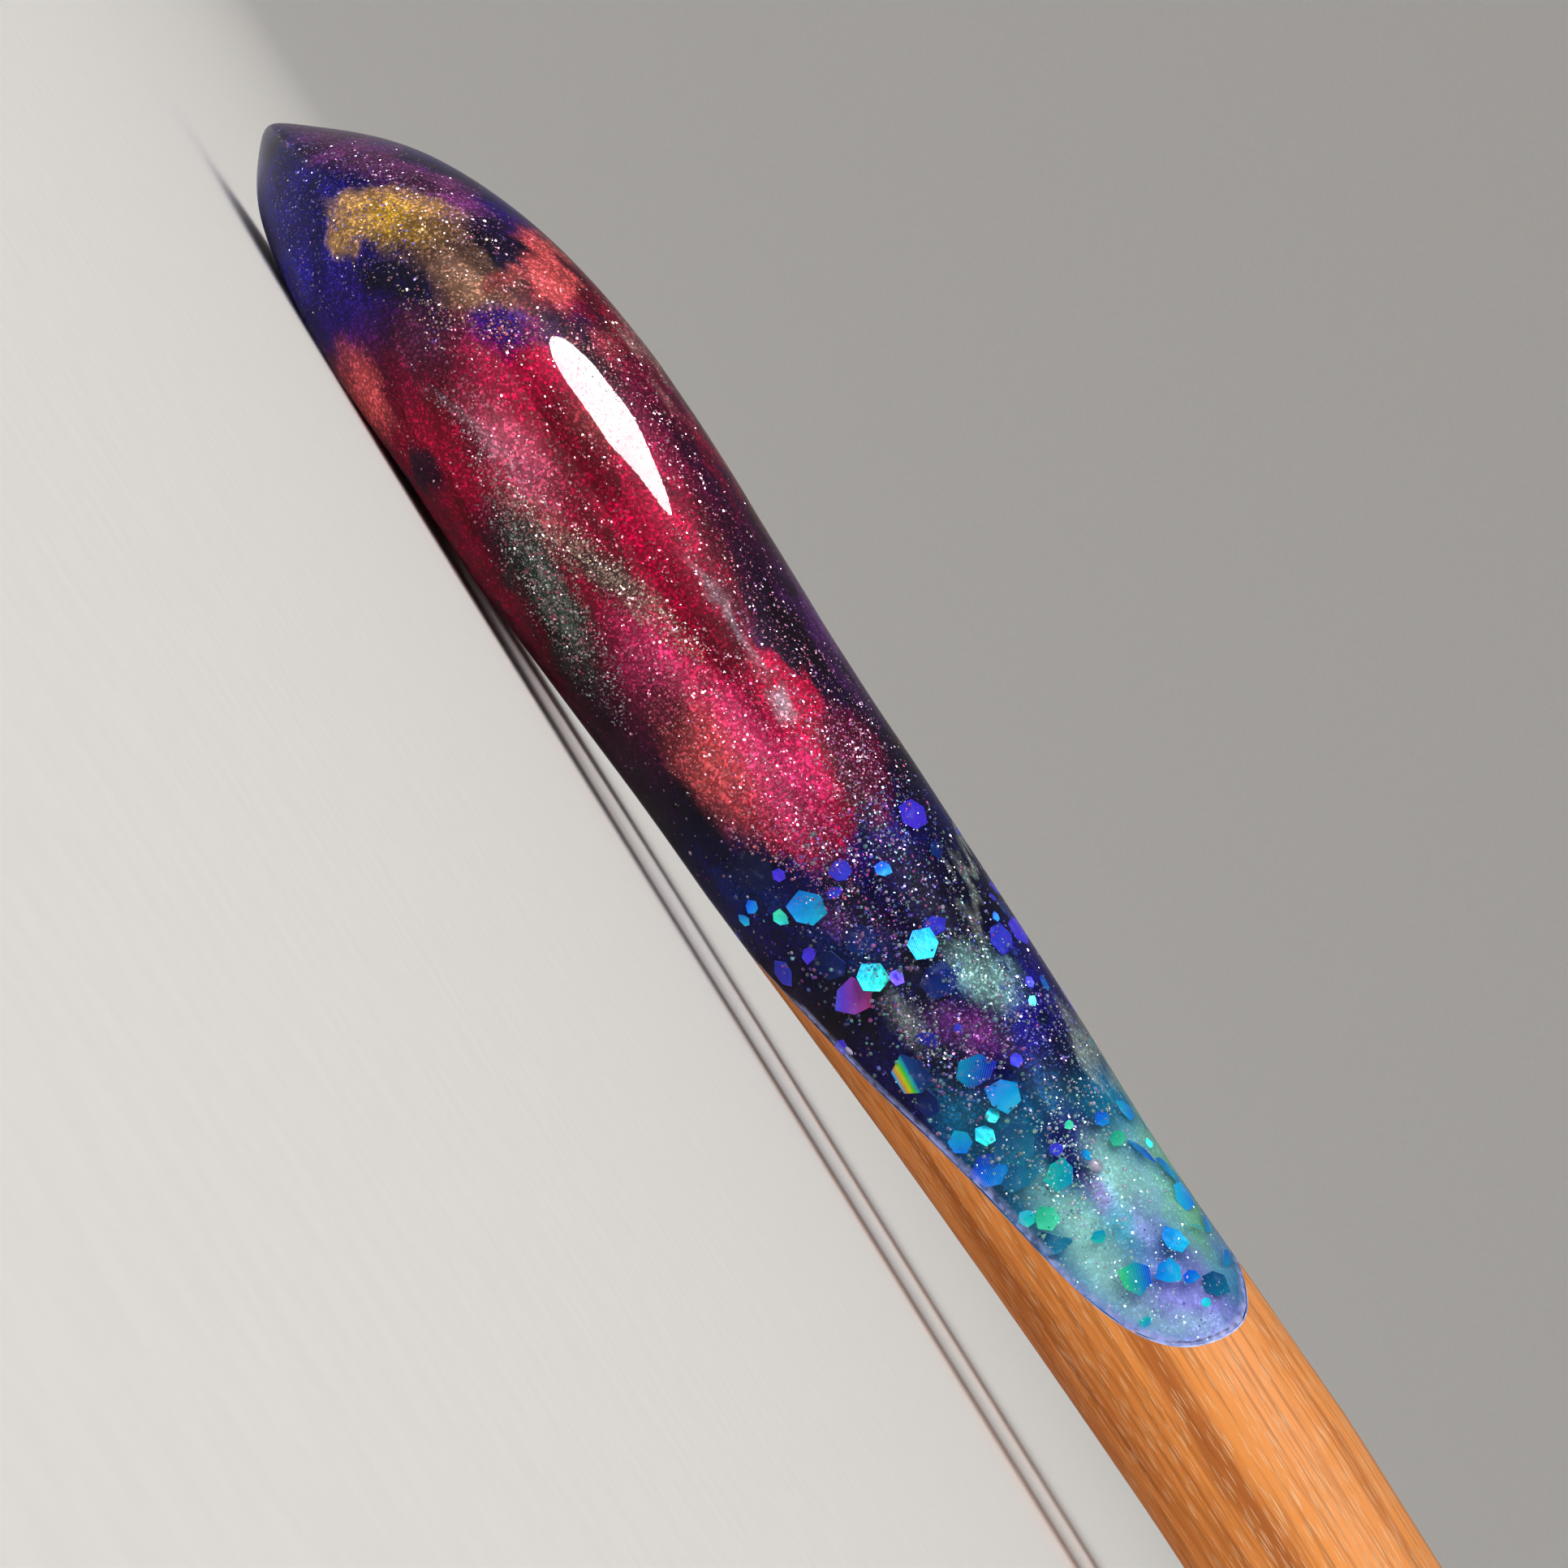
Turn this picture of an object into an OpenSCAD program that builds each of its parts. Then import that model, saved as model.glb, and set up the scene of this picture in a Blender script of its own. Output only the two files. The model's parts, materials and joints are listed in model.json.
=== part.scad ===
/* [Outline] */
// Length from the crown's edge to the points of the prongs
fork_len = 135; // [125:1:150]
// Width across the shoulders of the crown
crown_w = 35; // [33:1:38]
// Length of the crown's rounded end, from its edge to the shoulders
crown_arc = 17; // [15:0.5:18]
// Fullness of the crown's rounded end, where 2 is an ellipse
crown_full = 2.3; // [2:0.1:3]
// Distance from the crown's edge to the head of the slot
slot_head = 18.5; // [17:0.5:19]
// Width of the slot between the prongs
slot_w = 19; // [17:0.5:20]

/* [Edges] */
// Depth of the rounding at the crown's thin edge
edge_round = 3; // [2:0.5:4]
// Depth of the rounding at the shoulders
shoulder_round = 5.5; // [4.5:0.5:6]
// Length of the rounded point of each prong
point_round = 7; // [5:0.5:9]

/* [Joint] */
// Distance from the crown's edge to the start of the joint, on the underside
joint_start = 30; // [29.5:0.5:31]
// Distance from the crown's edge to the far end of the resin, on the side
joint_foot = 47.3; // [45:0.1:50]
// Gap of the bond between resin and wood, along the prong
bond = 0.05; // [0.02:0.01:0.1]

/* [Colours] */
// Colour of the resin crown
resin_colour = "#7a1038"; // ["#7a1038", "#1c1a66", "#12707c"]
// Colour of the wooden prongs
wood_colour = "#b9713a"; // ["#b9713a", "#8a5230", "#d09a60"]

/* [Hidden] */

// Columns of the tables below
AT = 0;
MID = 1;
THICK = 2;
CENTRE = 3;
WIDTH = 4;
DEPTH = 1;
RUN = 1;

prong_start = slot_head + slot_w / 2;
shoulder_y = crown_w / 2;
shoulder_w = shoulder_y - slot_w / 2;
first_centre = (shoulder_y + slot_w / 2) / 2;
point_start = fork_len - point_round;
joint_end = joint_foot + 4.7;

// Side profile of the crown: distance from its edge, height of the middle, thickness before the edge is rounded
crown_profile = [
    [0, 2.20, 1.9],
    [1, 2.38, 3.1],
    [2, 2.62, 4.3],
    [3, 2.92, 5.15],
    [5, 3.34, 6.45],
    [8, 3.83, 7.65],
    [12, 4.31, 8.2],
    [16, 4.51, 8.3],
    [20, 4.66, 8.0],
    [24, 4.82, 7.65],
    [prong_start, 5.0, 7.5],
];

// Each prong: distance from the crown's edge, height of its middle, thickness, distance of its middle from
// the fork's middle, width
prong_profile = [
    [prong_start, 5.0, 7.5, first_centre, shoulder_w],
    [36, 5.40, 7.0, first_centre, shoulder_w - 0.15],
    [42, 5.60, 6.62, first_centre, shoulder_w - 0.3],
    [48, 5.90, 6.6, first_centre - 0.05, shoulder_w - 0.4],
    [54, 6.12, 6.62, first_centre - 0.1, shoulder_w - 0.5],
    [75, 6.00, 6.2, first_centre - 0.3, shoulder_w - 1.1],
    [95, 5.05, 5.7, first_centre - 0.5, shoulder_w - 1.9],
    [115, 3.58, 5.0, first_centre - 0.8, shoulder_w - 3.0],
    [point_start, 2.24, 4.4, first_centre - 1.0, shoulder_w - 3.9],
    [fork_len, 1.75, 4.0, first_centre - 1.1, shoulder_w - 4.4],
];

// Where resin meets wood: share of the prong's thickness from its underside, share of the joint's run from
// its start to its foot
joint_profile = [
    [0, 0],
    [0.04, 0.15],
    [0.09, 0.31],
    [0.2, 0.52],
    [0.3, 0.775],
    [0.4, 0.896],
    [0.55, 0.971],
    [0.75, 1],
    [0.88, 0.994],
    [0.95, 0.96],
    [1, 0.913],
];

// Rounding of the outer edge: distance from the crown's edge, depth of the rounding
edge_profile = [
    [0, edge_round],
    [8, (edge_round + shoulder_round) / 2],
    [crown_arc, shoulder_round],
    [prong_start, shoulder_w / 2],
];

// Points in each ring, and rings in each stretch
ring_n = 32;
crown_steps = 18;
joint_steps = 9;
prong_steps = 16;
point_steps = 8;
// Share of the rings of the crown's one side that lie on its rounded end
arc_share = 0.72;

function mix(a, b, share) = a + (b - a) * share;
function reversed(list) = [for (k = [len(list) - 1:-1:0]) list[k]];

// Smooth curve through the rows of a table
function row_at(table, at, i = 0) =
    i >= len(table) - 2 || at < table[i + 1][AT] ? i : row_at(table, at, i + 1);
function slope_at(table, column, i) =
    let(a = max(i - 1, 0), b = min(i + 1, len(table) - 1))
    (table[b][column] - table[a][column]) / (table[b][AT] - table[a][AT]);
function curve(table, column, at) =
    let(
        i = row_at(table, at),
        h = table[i + 1][AT] - table[i][AT],
        t = (at - table[i][AT]) / h,
        from = table[i][column],
        to = table[i + 1][column],
        leave = h * slope_at(table, column, i),
        arrive = h * slope_at(table, column, i + 1)
    )
    from * (2 * t ^ 3 - 3 * t ^ 2 + 1) + leave * (t ^ 3 - 2 * t ^ 2 + t)
        + to * (3 * t ^ 2 - 2 * t ^ 3) + arrive * (t ^ 3 - t ^ 2);

// Height of a rounded edge at a distance from it, as a share of the full height
function rounded(distance, depth) =
    distance >= depth ? 1 : sqrt(max(0, 1 - (1 - distance / depth) ^ 2));
function ring_angle(j) = 360 * j / ring_n;

// Outer edge and slot edge of the crown, from the middle of the crown (turn 0) to the prong (turn 1)
function outer_edge(turn) =
    turn < arc_share
        ? let(a = 90 * turn / arc_share)
            [crown_arc * (1 - cos(a) ^ (2 / crown_full)), shoulder_y * sin(a) ^ (2 / crown_full)]
        : [mix(crown_arc, prong_start, (turn - arc_share) / (1 - arc_share)), shoulder_y];
function slot_edge(turn) =
    [prong_start - slot_w / 2 * cos(90 * turn), slot_w / 2 * sin(90 * turn)];

// One point of the crown's section, which runs from the outer edge to the slot
function crown_point(turn, j) =
    let(
        a = ring_angle(j),
        outer = outer_edge(turn),
        inner = slot_edge(turn),
        band = norm(inner - outer),
        across = (1 - cos(a)) / 2,
        place = mix(outer, inner, across),
        full = rounded(across * band, curve(edge_profile, DEPTH, outer[0]))
            * rounded((1 - across) * band, shoulder_w / 2),
        half = curve(crown_profile, THICK, place[0]) / 2 * full
    )
    [place[0], place[1], curve(crown_profile, MID, place[0]) + sign(sin(a)) * half];

// One point of a prong's oval section
function prong_point(at, j) =
    let(
        a = ring_angle(j),
        point = rounded(fork_len - at, point_round),
        half_w = curve(prong_profile, WIDTH, at) / 2 * point,
        half_t = curve(prong_profile, THICK, at) / 2 * point
    )
    [
        at,
        curve(prong_profile, CENTRE, at) + half_w * cos(a),
        curve(prong_profile, MID, at) + half_t * sin(a),
    ];

// Where the joint crosses the line that runs along the prong at this place of its section
function joint_at(j) = mix(joint_start, joint_foot, curve(joint_profile, RUN, (1 + sin(ring_angle(j))) / 2));

// A point of one side of the fork, with the fork's middle at the origin
function side(point, way) = [point[0] - fork_len / 2, way * point[1], point[2]];

// Rings of points of the crown's one side, from the joint to the middle
function crown_side(way) = concat(
    [for (k = [joint_steps:-1:1]) [for (j = [0:ring_n - 1])
        side(prong_point(mix(prong_start, joint_at(j), k / joint_steps), j), way)]],
    [for (k = [crown_steps:-1:1]) [for (j = [0:ring_n - 1])
        side(crown_point(k / crown_steps, j), way)]]
);
crown_middle = [[for (j = [0:ring_n - 1]) side(crown_point(0, j), 1)]];

// Rings of points of a prong, from the joint to its point
function prong_rings(way) = concat(
    [for (k = [0:joint_steps]) [for (j = [0:ring_n - 1])
        side(prong_point(mix(joint_at(j) + bond, joint_end, k / joint_steps), j), way)]],
    [for (k = [1:prong_steps]) [for (j = [0:ring_n - 1])
        side(prong_point(mix(joint_end, point_start, k / prong_steps), j), way)]],
    [for (k = [1:point_steps - 1]) [for (j = [0:ring_n - 1])
        side(prong_point(point_start + point_round * sin(90 * k / point_steps), j), way)]]
);
function prong_tip(way) =
    side([fork_len, curve(prong_profile, CENTRE, fork_len), curve(prong_profile, MID, fork_len)], way);

// Strips of faces straight across the ring whose first point is given, from the underside to the top
function end_strips(first) = [for (k = [-ring_n / 4:ring_n / 4 - 1])
    let(
        a = first + (ring_n + k + 1) % ring_n,
        b = first + (ring_n + k) % ring_n,
        c = first + ring_n / 2 - k,
        d = first + ring_n / 2 - k - 1
    )
    for (face = [[a, b, c], [a, c, d]])
        if (face[0] != face[1] && face[1] != face[2] && face[0] != face[2]) face];

// Solid through a list of rings, closed flat at both ends, or at a tip
module through_rings(list, tip = undef, flip = false) {
    n = len(list);
    last = (n - 1) * ring_n;
    points = concat([for (ring = list) each ring], tip == undef ? [] : [tip]);
    walls = [for (k = [0:n - 2]) for (j = [0:ring_n - 1])
        let(a = k * ring_n + j, b = k * ring_n + (j + 1) % ring_n)
        each [[a, b, b + ring_n], [a, b + ring_n, a + ring_n]]];
    far_end = tip == undef
        ? [for (face = end_strips(last)) reversed(face)]
        : [for (j = [0:ring_n - 1]) [last + j, last + (j + 1) % ring_n, n * ring_n]];
    faces = concat(walls, end_strips(0), far_end);
    polyhedron(points, flip ? [for (face = faces) reversed(face)] : faces, convexity = 6);
}

module crown() {
    color(resin_colour)
        through_rings(concat(crown_side(-1), crown_middle, reversed(crown_side(1))), flip = true);
}

module prong(way) {
    color(wood_colour)
        through_rings(prong_rings(way), tip = prong_tip(way), flip = way > 0);
}

crown();
prong(-1);  // left_prong
prong(1);  // right_prong
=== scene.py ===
"""Looks of a two-prong hair fork: a clear resin crown over pearl pigment and foil, and wooden prongs."""

import json
import logging
import math
import random
from collections.abc import Callable
from dataclasses import dataclass, field
from enum import Enum

import bmesh
import bpy
from mathutils import Euler, Matrix, Vector, noise
from mathutils.bvhtree import BVHTree

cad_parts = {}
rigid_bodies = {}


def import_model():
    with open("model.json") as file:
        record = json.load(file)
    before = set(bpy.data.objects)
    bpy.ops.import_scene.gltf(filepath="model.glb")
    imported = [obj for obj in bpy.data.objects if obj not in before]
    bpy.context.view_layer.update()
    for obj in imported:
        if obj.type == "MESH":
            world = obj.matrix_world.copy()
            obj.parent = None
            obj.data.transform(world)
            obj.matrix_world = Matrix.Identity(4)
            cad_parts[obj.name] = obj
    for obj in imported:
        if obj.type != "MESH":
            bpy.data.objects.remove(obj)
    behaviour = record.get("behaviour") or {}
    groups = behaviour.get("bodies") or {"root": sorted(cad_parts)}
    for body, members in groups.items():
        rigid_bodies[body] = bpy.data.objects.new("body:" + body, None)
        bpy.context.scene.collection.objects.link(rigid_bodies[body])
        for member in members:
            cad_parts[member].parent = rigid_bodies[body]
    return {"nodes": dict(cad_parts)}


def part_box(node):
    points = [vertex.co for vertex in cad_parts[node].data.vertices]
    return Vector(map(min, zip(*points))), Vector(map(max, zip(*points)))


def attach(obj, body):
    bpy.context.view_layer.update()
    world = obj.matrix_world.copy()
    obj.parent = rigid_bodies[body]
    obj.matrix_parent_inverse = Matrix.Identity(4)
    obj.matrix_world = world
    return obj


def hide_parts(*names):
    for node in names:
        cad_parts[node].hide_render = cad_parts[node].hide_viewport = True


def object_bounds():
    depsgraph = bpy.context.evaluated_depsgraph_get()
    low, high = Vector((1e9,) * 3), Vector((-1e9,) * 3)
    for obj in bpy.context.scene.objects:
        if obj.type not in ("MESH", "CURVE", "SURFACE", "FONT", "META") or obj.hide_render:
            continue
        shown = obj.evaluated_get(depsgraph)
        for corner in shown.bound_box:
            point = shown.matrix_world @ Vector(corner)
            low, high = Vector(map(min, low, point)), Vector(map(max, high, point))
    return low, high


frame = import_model()
CAD_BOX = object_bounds()

LOG = logging.getLogger("hair_fork")
MM = 0.001
EDGE_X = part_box("crown")[0].x
# Stretch of the joint, in millimetres from the crown's edge, and the most sideways slope of its faces
JOINT_SPAN = (29.0, 48.0)
JOINT_SLOPE = 0.01
# A normal that faces straight sideways by more than this is past the fork's outline
SQUARE = 0.999
# How many grains are made in one mesh before they join the rest
BATCH = 200
WHITE = "#ffffff"
# Usual range of a noise, its middle, the part that turns pale, and the one that silk and pores follow
NOISE_RANGE = (0.3, 0.7)
MID_RANGE = (0.4, 0.6)
PALE_RANGE = (0.4, 0.7)
SILK_RANGE = (0.35, 0.65)

Socket = bpy.types.NodeSocket
Inputs = dict[int | str, object]
Material = bpy.types.Material
Piece = bpy.types.Object
BMesh = bmesh.types.BMesh
Pair = tuple[float, float]
Triple = tuple[float, float, float]
Levels = tuple[Pair, ...]


def linear(code: str) -> tuple[float, float, float, float]:
    """Turns a colour code into scene-linear values.

    Args:
        code: Six hexadecimal digits after a hash.

    Returns:
        Red, green, blue and an alpha of 1.
    """
    parts = [int(code[i : i + 2], 16) / 255 for i in (1, 3, 5)]
    curved = [p / 12.92 if p <= 0.04045 else ((p + 0.055) / 1.055) ** 2.4 for p in parts]
    return (*curved, 1.0)


def rgb(code: str) -> Vector:
    """Scene-linear colour of a code, without alpha."""
    return Vector(linear(code)[:3])


def place(x: float, y: float, z: float) -> Vector:
    """Point at x mm behind the crown's edge, y mm across the fork and z mm above the surface."""
    return Vector((EDGE_X + x * MM, y * MM, z * MM))


def distance(spot: Vector) -> float:
    """Millimetres from the crown's edge to a point, along the fork."""
    return (spot.x - EDGE_X) / MM


def level(table: Levels, x: float) -> float:
    """Reads a table at a distance from the crown's edge, on straight lines between its rows.

    Args:
        table: Distance and value of each row.
        x: The distance.

    Returns:
        The value.
    """
    for (x0, value0), (x1, value1) in zip(table, table[1:]):
        if x <= x1:
            return value0 + (value1 - value0) * max(0.0, (x - x0) / (x1 - x0))
    return table[-1][1]


def mostly_small(dice: random.Random, low: float, high: float) -> float:
    """Random size between two, more often near the lower one."""
    return low + (high - low) * dice.random() ** 2


class Pearl(Enum):
    """Colours of the pigments and glitters in the casting."""

    ULTRAMARINE = "#0a0258"
    BRIGHT_BLUE = "#2e1ecc"
    MAUVE = "#a04886"
    GOLD = "#e4b460"
    BRIGHT_GOLD = "#ffd040"
    BRONZE = "#a47e5e"
    INDIGO = "#0e063a"
    VIOLET_BLACK = "#180630"
    VIOLET = "#2a0c74"
    CORAL = "#f66a66"
    DUSTY_PINK = "#e8708c"
    ROSE = "#a81c48"
    CRIMSON = "#ac0034"
    RUBY = "#5e0a30"
    SILVER = "#c8c0c2"
    SILVER_GREEN = "#b6c8b0"
    MOSS = "#123428"
    GREEN_MOSS = "#2e6a4c"
    PALE_GOLD = "#ecdcae"
    PLUM = "#280828"
    MAROON = "#420a20"
    ORCHID = "#642478"
    PINK = "#ff4c8c"
    NIGHT = "#08052a"
    NAVY = "#0e0c68"
    SEA_BLUE = "#0c3c92"
    LILAC_PINK = "#a648ac"
    TEAL = "#0888a8"
    AQUA = "#52bcc8"
    MINT = "#acf4dc"
    LAVENDER = "#989ee4"
    LILAC = "#a484c4"
    GREEN_GLOW = "#86d89c"


@dataclass(frozen=True)
class Patch:
    """A cloud of one pigment, as an oval seen from the fork's side.

    Sizes are in millimetres: x from the crown's edge, z above the surface. The oval's far end is raised by
    turn degrees. Edge is the soft share of its radius, and glitter is how thickly loose glitter lies in it.
    """

    x: float
    z: float
    half_x: float
    half_z: float
    pearl: Pearl
    turn: float = 0.0
    cover: float = 0.9
    edge: float = 0.5
    glitter: float = 0.0

    def reach(self, x: float, z: float) -> float:
        """Measures how far out in the oval a point lies.

        Args:
            x: Millimetres from the crown's edge.
            z: Millimetres above the surface.

        Returns:
            The distance from the oval's middle, as a share of its radius there.
        """
        angle = math.radians(self.turn)
        dx, dz = x - self.x, z - self.z
        along = (dx * math.cos(angle) + dz * math.sin(angle)) / self.half_x
        across = (dz * math.cos(angle) - dx * math.sin(angle)) / self.half_z
        return math.hypot(along, across)


PATCHES = (
    Patch(3.4, 1.83, 2.2, 2.88, Pearl.BRIGHT_BLUE, -15, 0.25, 1, 0.5),
    Patch(5.5, 0.73, 1.5, 4.13, Pearl.BRIGHT_BLUE, -6, 0.45, 1, 0.5),
    Patch(3.8, 4.37, 4.3, 0.87, Pearl.MAUVE, 31, 0.6, 0.9, 0.9),
    Patch(4.9, 4.76, 3.3, 0.57, Pearl.PLUM, 25, 0.6, 0.9, 0.3),
    Patch(6.5, 5.73, 2.4, 0.79, Pearl.MAUVE, 14, 0.65, 0.9, 0.9),
    Patch(7.9, 4.90, 3.3, 1.53, Pearl.BRONZE, 18, 0.95, 0.6, 0.4),
    Patch(5.3, 2.69, 0.7, 1.02, Pearl.GOLD, 55, 0.95, 0.6, 0.3),
    Patch(5.7, 3.96, 2.4, 0.94, Pearl.GOLD, 46, 1, 0.6, 0.4),
    Patch(5.8, 3.96, 1.3, 0.72, Pearl.BRIGHT_GOLD, 44, 0.95, 0.9, 0.5),
    Patch(7.5, 3.16, 1.6, 0.82, Pearl.INDIGO, 25, 1, 0.5, 0.3),
    Patch(9.3, 3.67, 1.6, 0.65, Pearl.INDIGO, 25, 0.8, 0.8, 0.5),
    Patch(8.0, 6.16, 1.6, 0.64, Pearl.VIOLET_BLACK, 14, 1, 0.5, 0.1),
    Patch(9.6, 6.86, 1.8, 0.60, Pearl.CORAL, 1, 1, 0.5, 0.4),
    Patch(9.2, 5.80, 0.8, 0.45, Pearl.CORAL, 77, 0.8, 0.8, 0.6),
    Patch(10.4, 5.03, 1.4, 0.97, Pearl.VIOLET, 35, 0.95, 0.6, 0.7),
    Patch(11.3, 6.27, 1.1, 0.82, Pearl.INDIGO, -2, 0.9, 0.7, 0.4),
    Patch(12.3, 7.04, 1.7, 0.49, Pearl.VIOLET, 3, 0.9, 0.7, 0.4),
    Patch(12.6, 7.30, 0.9, 0.39, Pearl.CORAL, 7, 0.8, 0.8, 0.9),
    Patch(9.5, 2.94, 1.7, 1.07, Pearl.MAUVE, -2, 0.5, 1, 0.2),
    Patch(11.2, 4.08, 2.6, 1.18, Pearl.ROSE, 12, 0.7, 0.9, 0.2),
    Patch(9.8, 0.85, 2.2, 0.54, Pearl.CORAL, -3, 0.85, 0.8, 0.3),
    Patch(12.7, 1.26, 1.2, 0.37, Pearl.PLUM, 2, 0.95, 0.6, 0.2),
    # Small coral patch beside the window highlight: a painted orange-pink highlight.
    Patch(14.4, 5.68, 1.4, 0.74, Pearl.CORAL, 16, 0.6, 1, 0.5),
    Patch(13.7, 4.53, 3.6, 1.29, Pearl.CRIMSON, 7, 0.8, 1, 0.2),
    Patch(13.0, 2.83, 2.7, 0.30, Pearl.SILVER, 14, 0.6, 1, 1),
    Patch(14.0, 3.34, 3.6, 1.18, Pearl.DUSTY_PINK, 9, 0.85, 1, 0.7),
    Patch(13.5, 6.97, 3.0, 0.98, Pearl.MAROON, 0, 0.85, 0.8, 0.4),
    Patch(13.5, 6.50, 1.4, 0.43, Pearl.INDIGO, 5, 0.8, 0.8, 0.3),
    Patch(16.5, 7.28, 6.7, 1.07, Pearl.RUBY, 1, 0.9, 0.8, 0.3),
    Patch(23.0, 7.25, 7.3, 1.37, Pearl.PLUM, 1, 1, 0.6, 0.3),
    Patch(26.7, 7.59, 3.7, 1.48, Pearl.VIOLET_BLACK, -2, 0.95, 0.7, 0.7),
    Patch(23.6, 7.95, 5.6, 0.30, Pearl.ORCHID, 1, 0.9, 0.9, 0.1),
    Patch(17.5, 7.70, 5.0, 0.45, Pearl.PLUM, 1, 0.85, 0.8, 0.2),
    # Thin silver-green line along the upper outline: a painted rim highlight.
    Patch(13.0, 7.90, 3.6, 0.34, Pearl.SILVER_GREEN, 2, 0.35, 1.0, 0.4),
    Patch(15.9, 2.04, 2.2, 0.89, Pearl.PLUM, -2, 0.9, 0.8, 0.2),
    Patch(19.5, 1.95, 7.3, 0.87, Pearl.PLUM, 0, 0.9, 0.9, 0.1),
    Patch(29.2, 5.62, 3.1, 1.26, Pearl.VIOLET, 44, 0.8, 0.9, 0.5),
    Patch(28.6, 2.79, 1.7, 0.79, Pearl.SEA_BLUE, 16, 0.6, 0.9, 0.1),
    Patch(19.0, 5.16, 5.3, 2.14, Pearl.CRIMSON, 0, 1, 0.5, 0.2),
    Patch(25.1, 5.22, 4.3, 1.90, Pearl.CRIMSON, -2, 1, 0.14, 0.2),
    Patch(27.0, 6.94, 2.4, 0.86, Pearl.RUBY, -7, 0.95, 0.5, 0.6),
    Patch(17.7, 2.23, 4.0, 1.11, Pearl.MOSS, -3, 0.95, 0.8, 0.2),
    Patch(18.3, 3.82, 3.3, 0.87, Pearl.PLUM, 18, 0.95, 0.9),
    Patch(18.2, 2.20, 1.9, 0.69, Pearl.GREEN_MOSS, -6, 0.7, 1, 0.8),
    Patch(17.7, 2.23, 4.6, 0.81, Pearl.SILVER_GREEN, -3, 0.16, 1, 1.3),
    Patch(18.1, 3.79, 4.2, 0.65, Pearl.PALE_GOLD, 18, 0.14, 1, 1.6),
    # Thin silver line that carries the window highlight on past its end: a painted reflection.
    Patch(21.0, 6.30, 2.9, 0.17, Pearl.SILVER, 1, 0.6, 1, 0.8),
    Patch(24.3, 6.23, 0.9, 0.34, Pearl.SILVER, 7, 0.7, 1, 0.7),
    # The lobe's bright pink and coral: partly its pigment and partly a painted pearl sheen.
    Patch(25.7, 4.88, 4.6, 1.50, Pearl.PINK, 2, 0.95, 1, 1),
    Patch(24.8, 3.70, 3.6, 1.18, Pearl.CORAL, 2, 0.95, 1, 0.8),
    Patch(21.2, 3.69, 2.7, 1.29, Pearl.PINK, 7, 0.6, 1, 0.6),
    Patch(31.0, 7.16, 2.2, 1.26, Pearl.NIGHT, 16, 0.9, 0.8, 0.2),
    Patch(30.6, 4.22, 1.4, 0.57, Pearl.LILAC_PINK, 25, 0.6, 1, 0.6),
    Patch(31.1, 5.09, 1.9, 1.10, Pearl.PLUM, 25, 0.7, 1, 0.6),
    Patch(31.6, 4.19, 2.6, 1.32, Pearl.SEA_BLUE, 25, 0.5, 1, 0.2),
    Patch(34.2, 8.22, 2.2, 0.64, Pearl.BRIGHT_BLUE, -3, 0.5, 1, 0.3),
    Patch(31.4, 7.80, 4.1, 0.15, Pearl.SILVER_GREEN, -14, 0.75, 1, 1),
    Patch(33.8, 6.13, 1.3, 0.78, Pearl.SEA_BLUE, 7, 0.7, 0.9, 0.2),
    Patch(34.4, 7.00, 2.0, 0.91, Pearl.MINT, 16, 0.75, 1, 1.2),
    Patch(34.3, 4.56, 1.8, 0.56, Pearl.SILVER_GREEN, 7, 0.5, 1, 0.9),
    Patch(35.5, 5.86, 1.7, 0.88, Pearl.LILAC_PINK, 25, 0.75, 1, 0.9),
    Patch(36.5, 7.47, 1.9, 0.86, Pearl.BRIGHT_BLUE, -2, 0.4, 1, 0.6),
    Patch(35.8, 4.83, 2.0, 0.79, Pearl.NIGHT, 16, 0.8, 0.9, 0.5),
    Patch(37.7, 7.65, 1.8, 0.90, Pearl.NIGHT, -11, 0.9, 0.8, 0.4),
    Patch(38.1, 8.20, 3.6, 0.34, Pearl.SILVER_GREEN, -3, 0.7, 1, 0.5),
    Patch(37.7, 4.39, 2.4, 1.17, Pearl.TEAL, 7, 0.8, 0.9, 0.2),
    Patch(39.7, 4.81, 2.4, 1.48, Pearl.TEAL, -2, 0.95, 0.7, 0.4),
    Patch(40.0, 6.51, 1.9, 1.30, Pearl.NAVY, -2, 0.95, 0.6, 0.6),
    Patch(42.9, 8.11, 4.2, 0.61, Pearl.GREEN_GLOW, -2, 0.95, 0.8, 0.1),
    Patch(42.0, 7.31, 2.6, 1.17, Pearl.MINT, 5, 0.9, 0.9, 0.3),
    Patch(42.5, 6.41, 2.6, 0.90, Pearl.AQUA, 35, 0.8, 1, 0.2),
    Patch(42.5, 5.40, 3.5, 1.17, Pearl.MINT, 12, 0.9, 0.9, 0.2),
    Patch(41.7, 6.35, 1.2, 0.73, Pearl.LILAC, 7, 0.75, 1, 0.2),
    Patch(43.4, 7.21, 1.5, 0.73, Pearl.LAVENDER, -2, 0.75, 1, 0.1),
    Patch(44.6, 5.53, 2.4, 1.00, Pearl.MINT, 25, 0.8, 0.9, 0.1),
    Patch(45.7, 6.70, 2.3, 1.26, Pearl.LAVENDER, 44, 0.85, 0.9, 0.2),
    Patch(46.0, 8.16, 1.5, 0.66, Pearl.AQUA, -6, 0.8, 0.9, 0.1),
    Patch(46.2, 6.33, 2.7, 0.56, Pearl.MINT, 50, 0.5, 1, 0.1),
)

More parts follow.
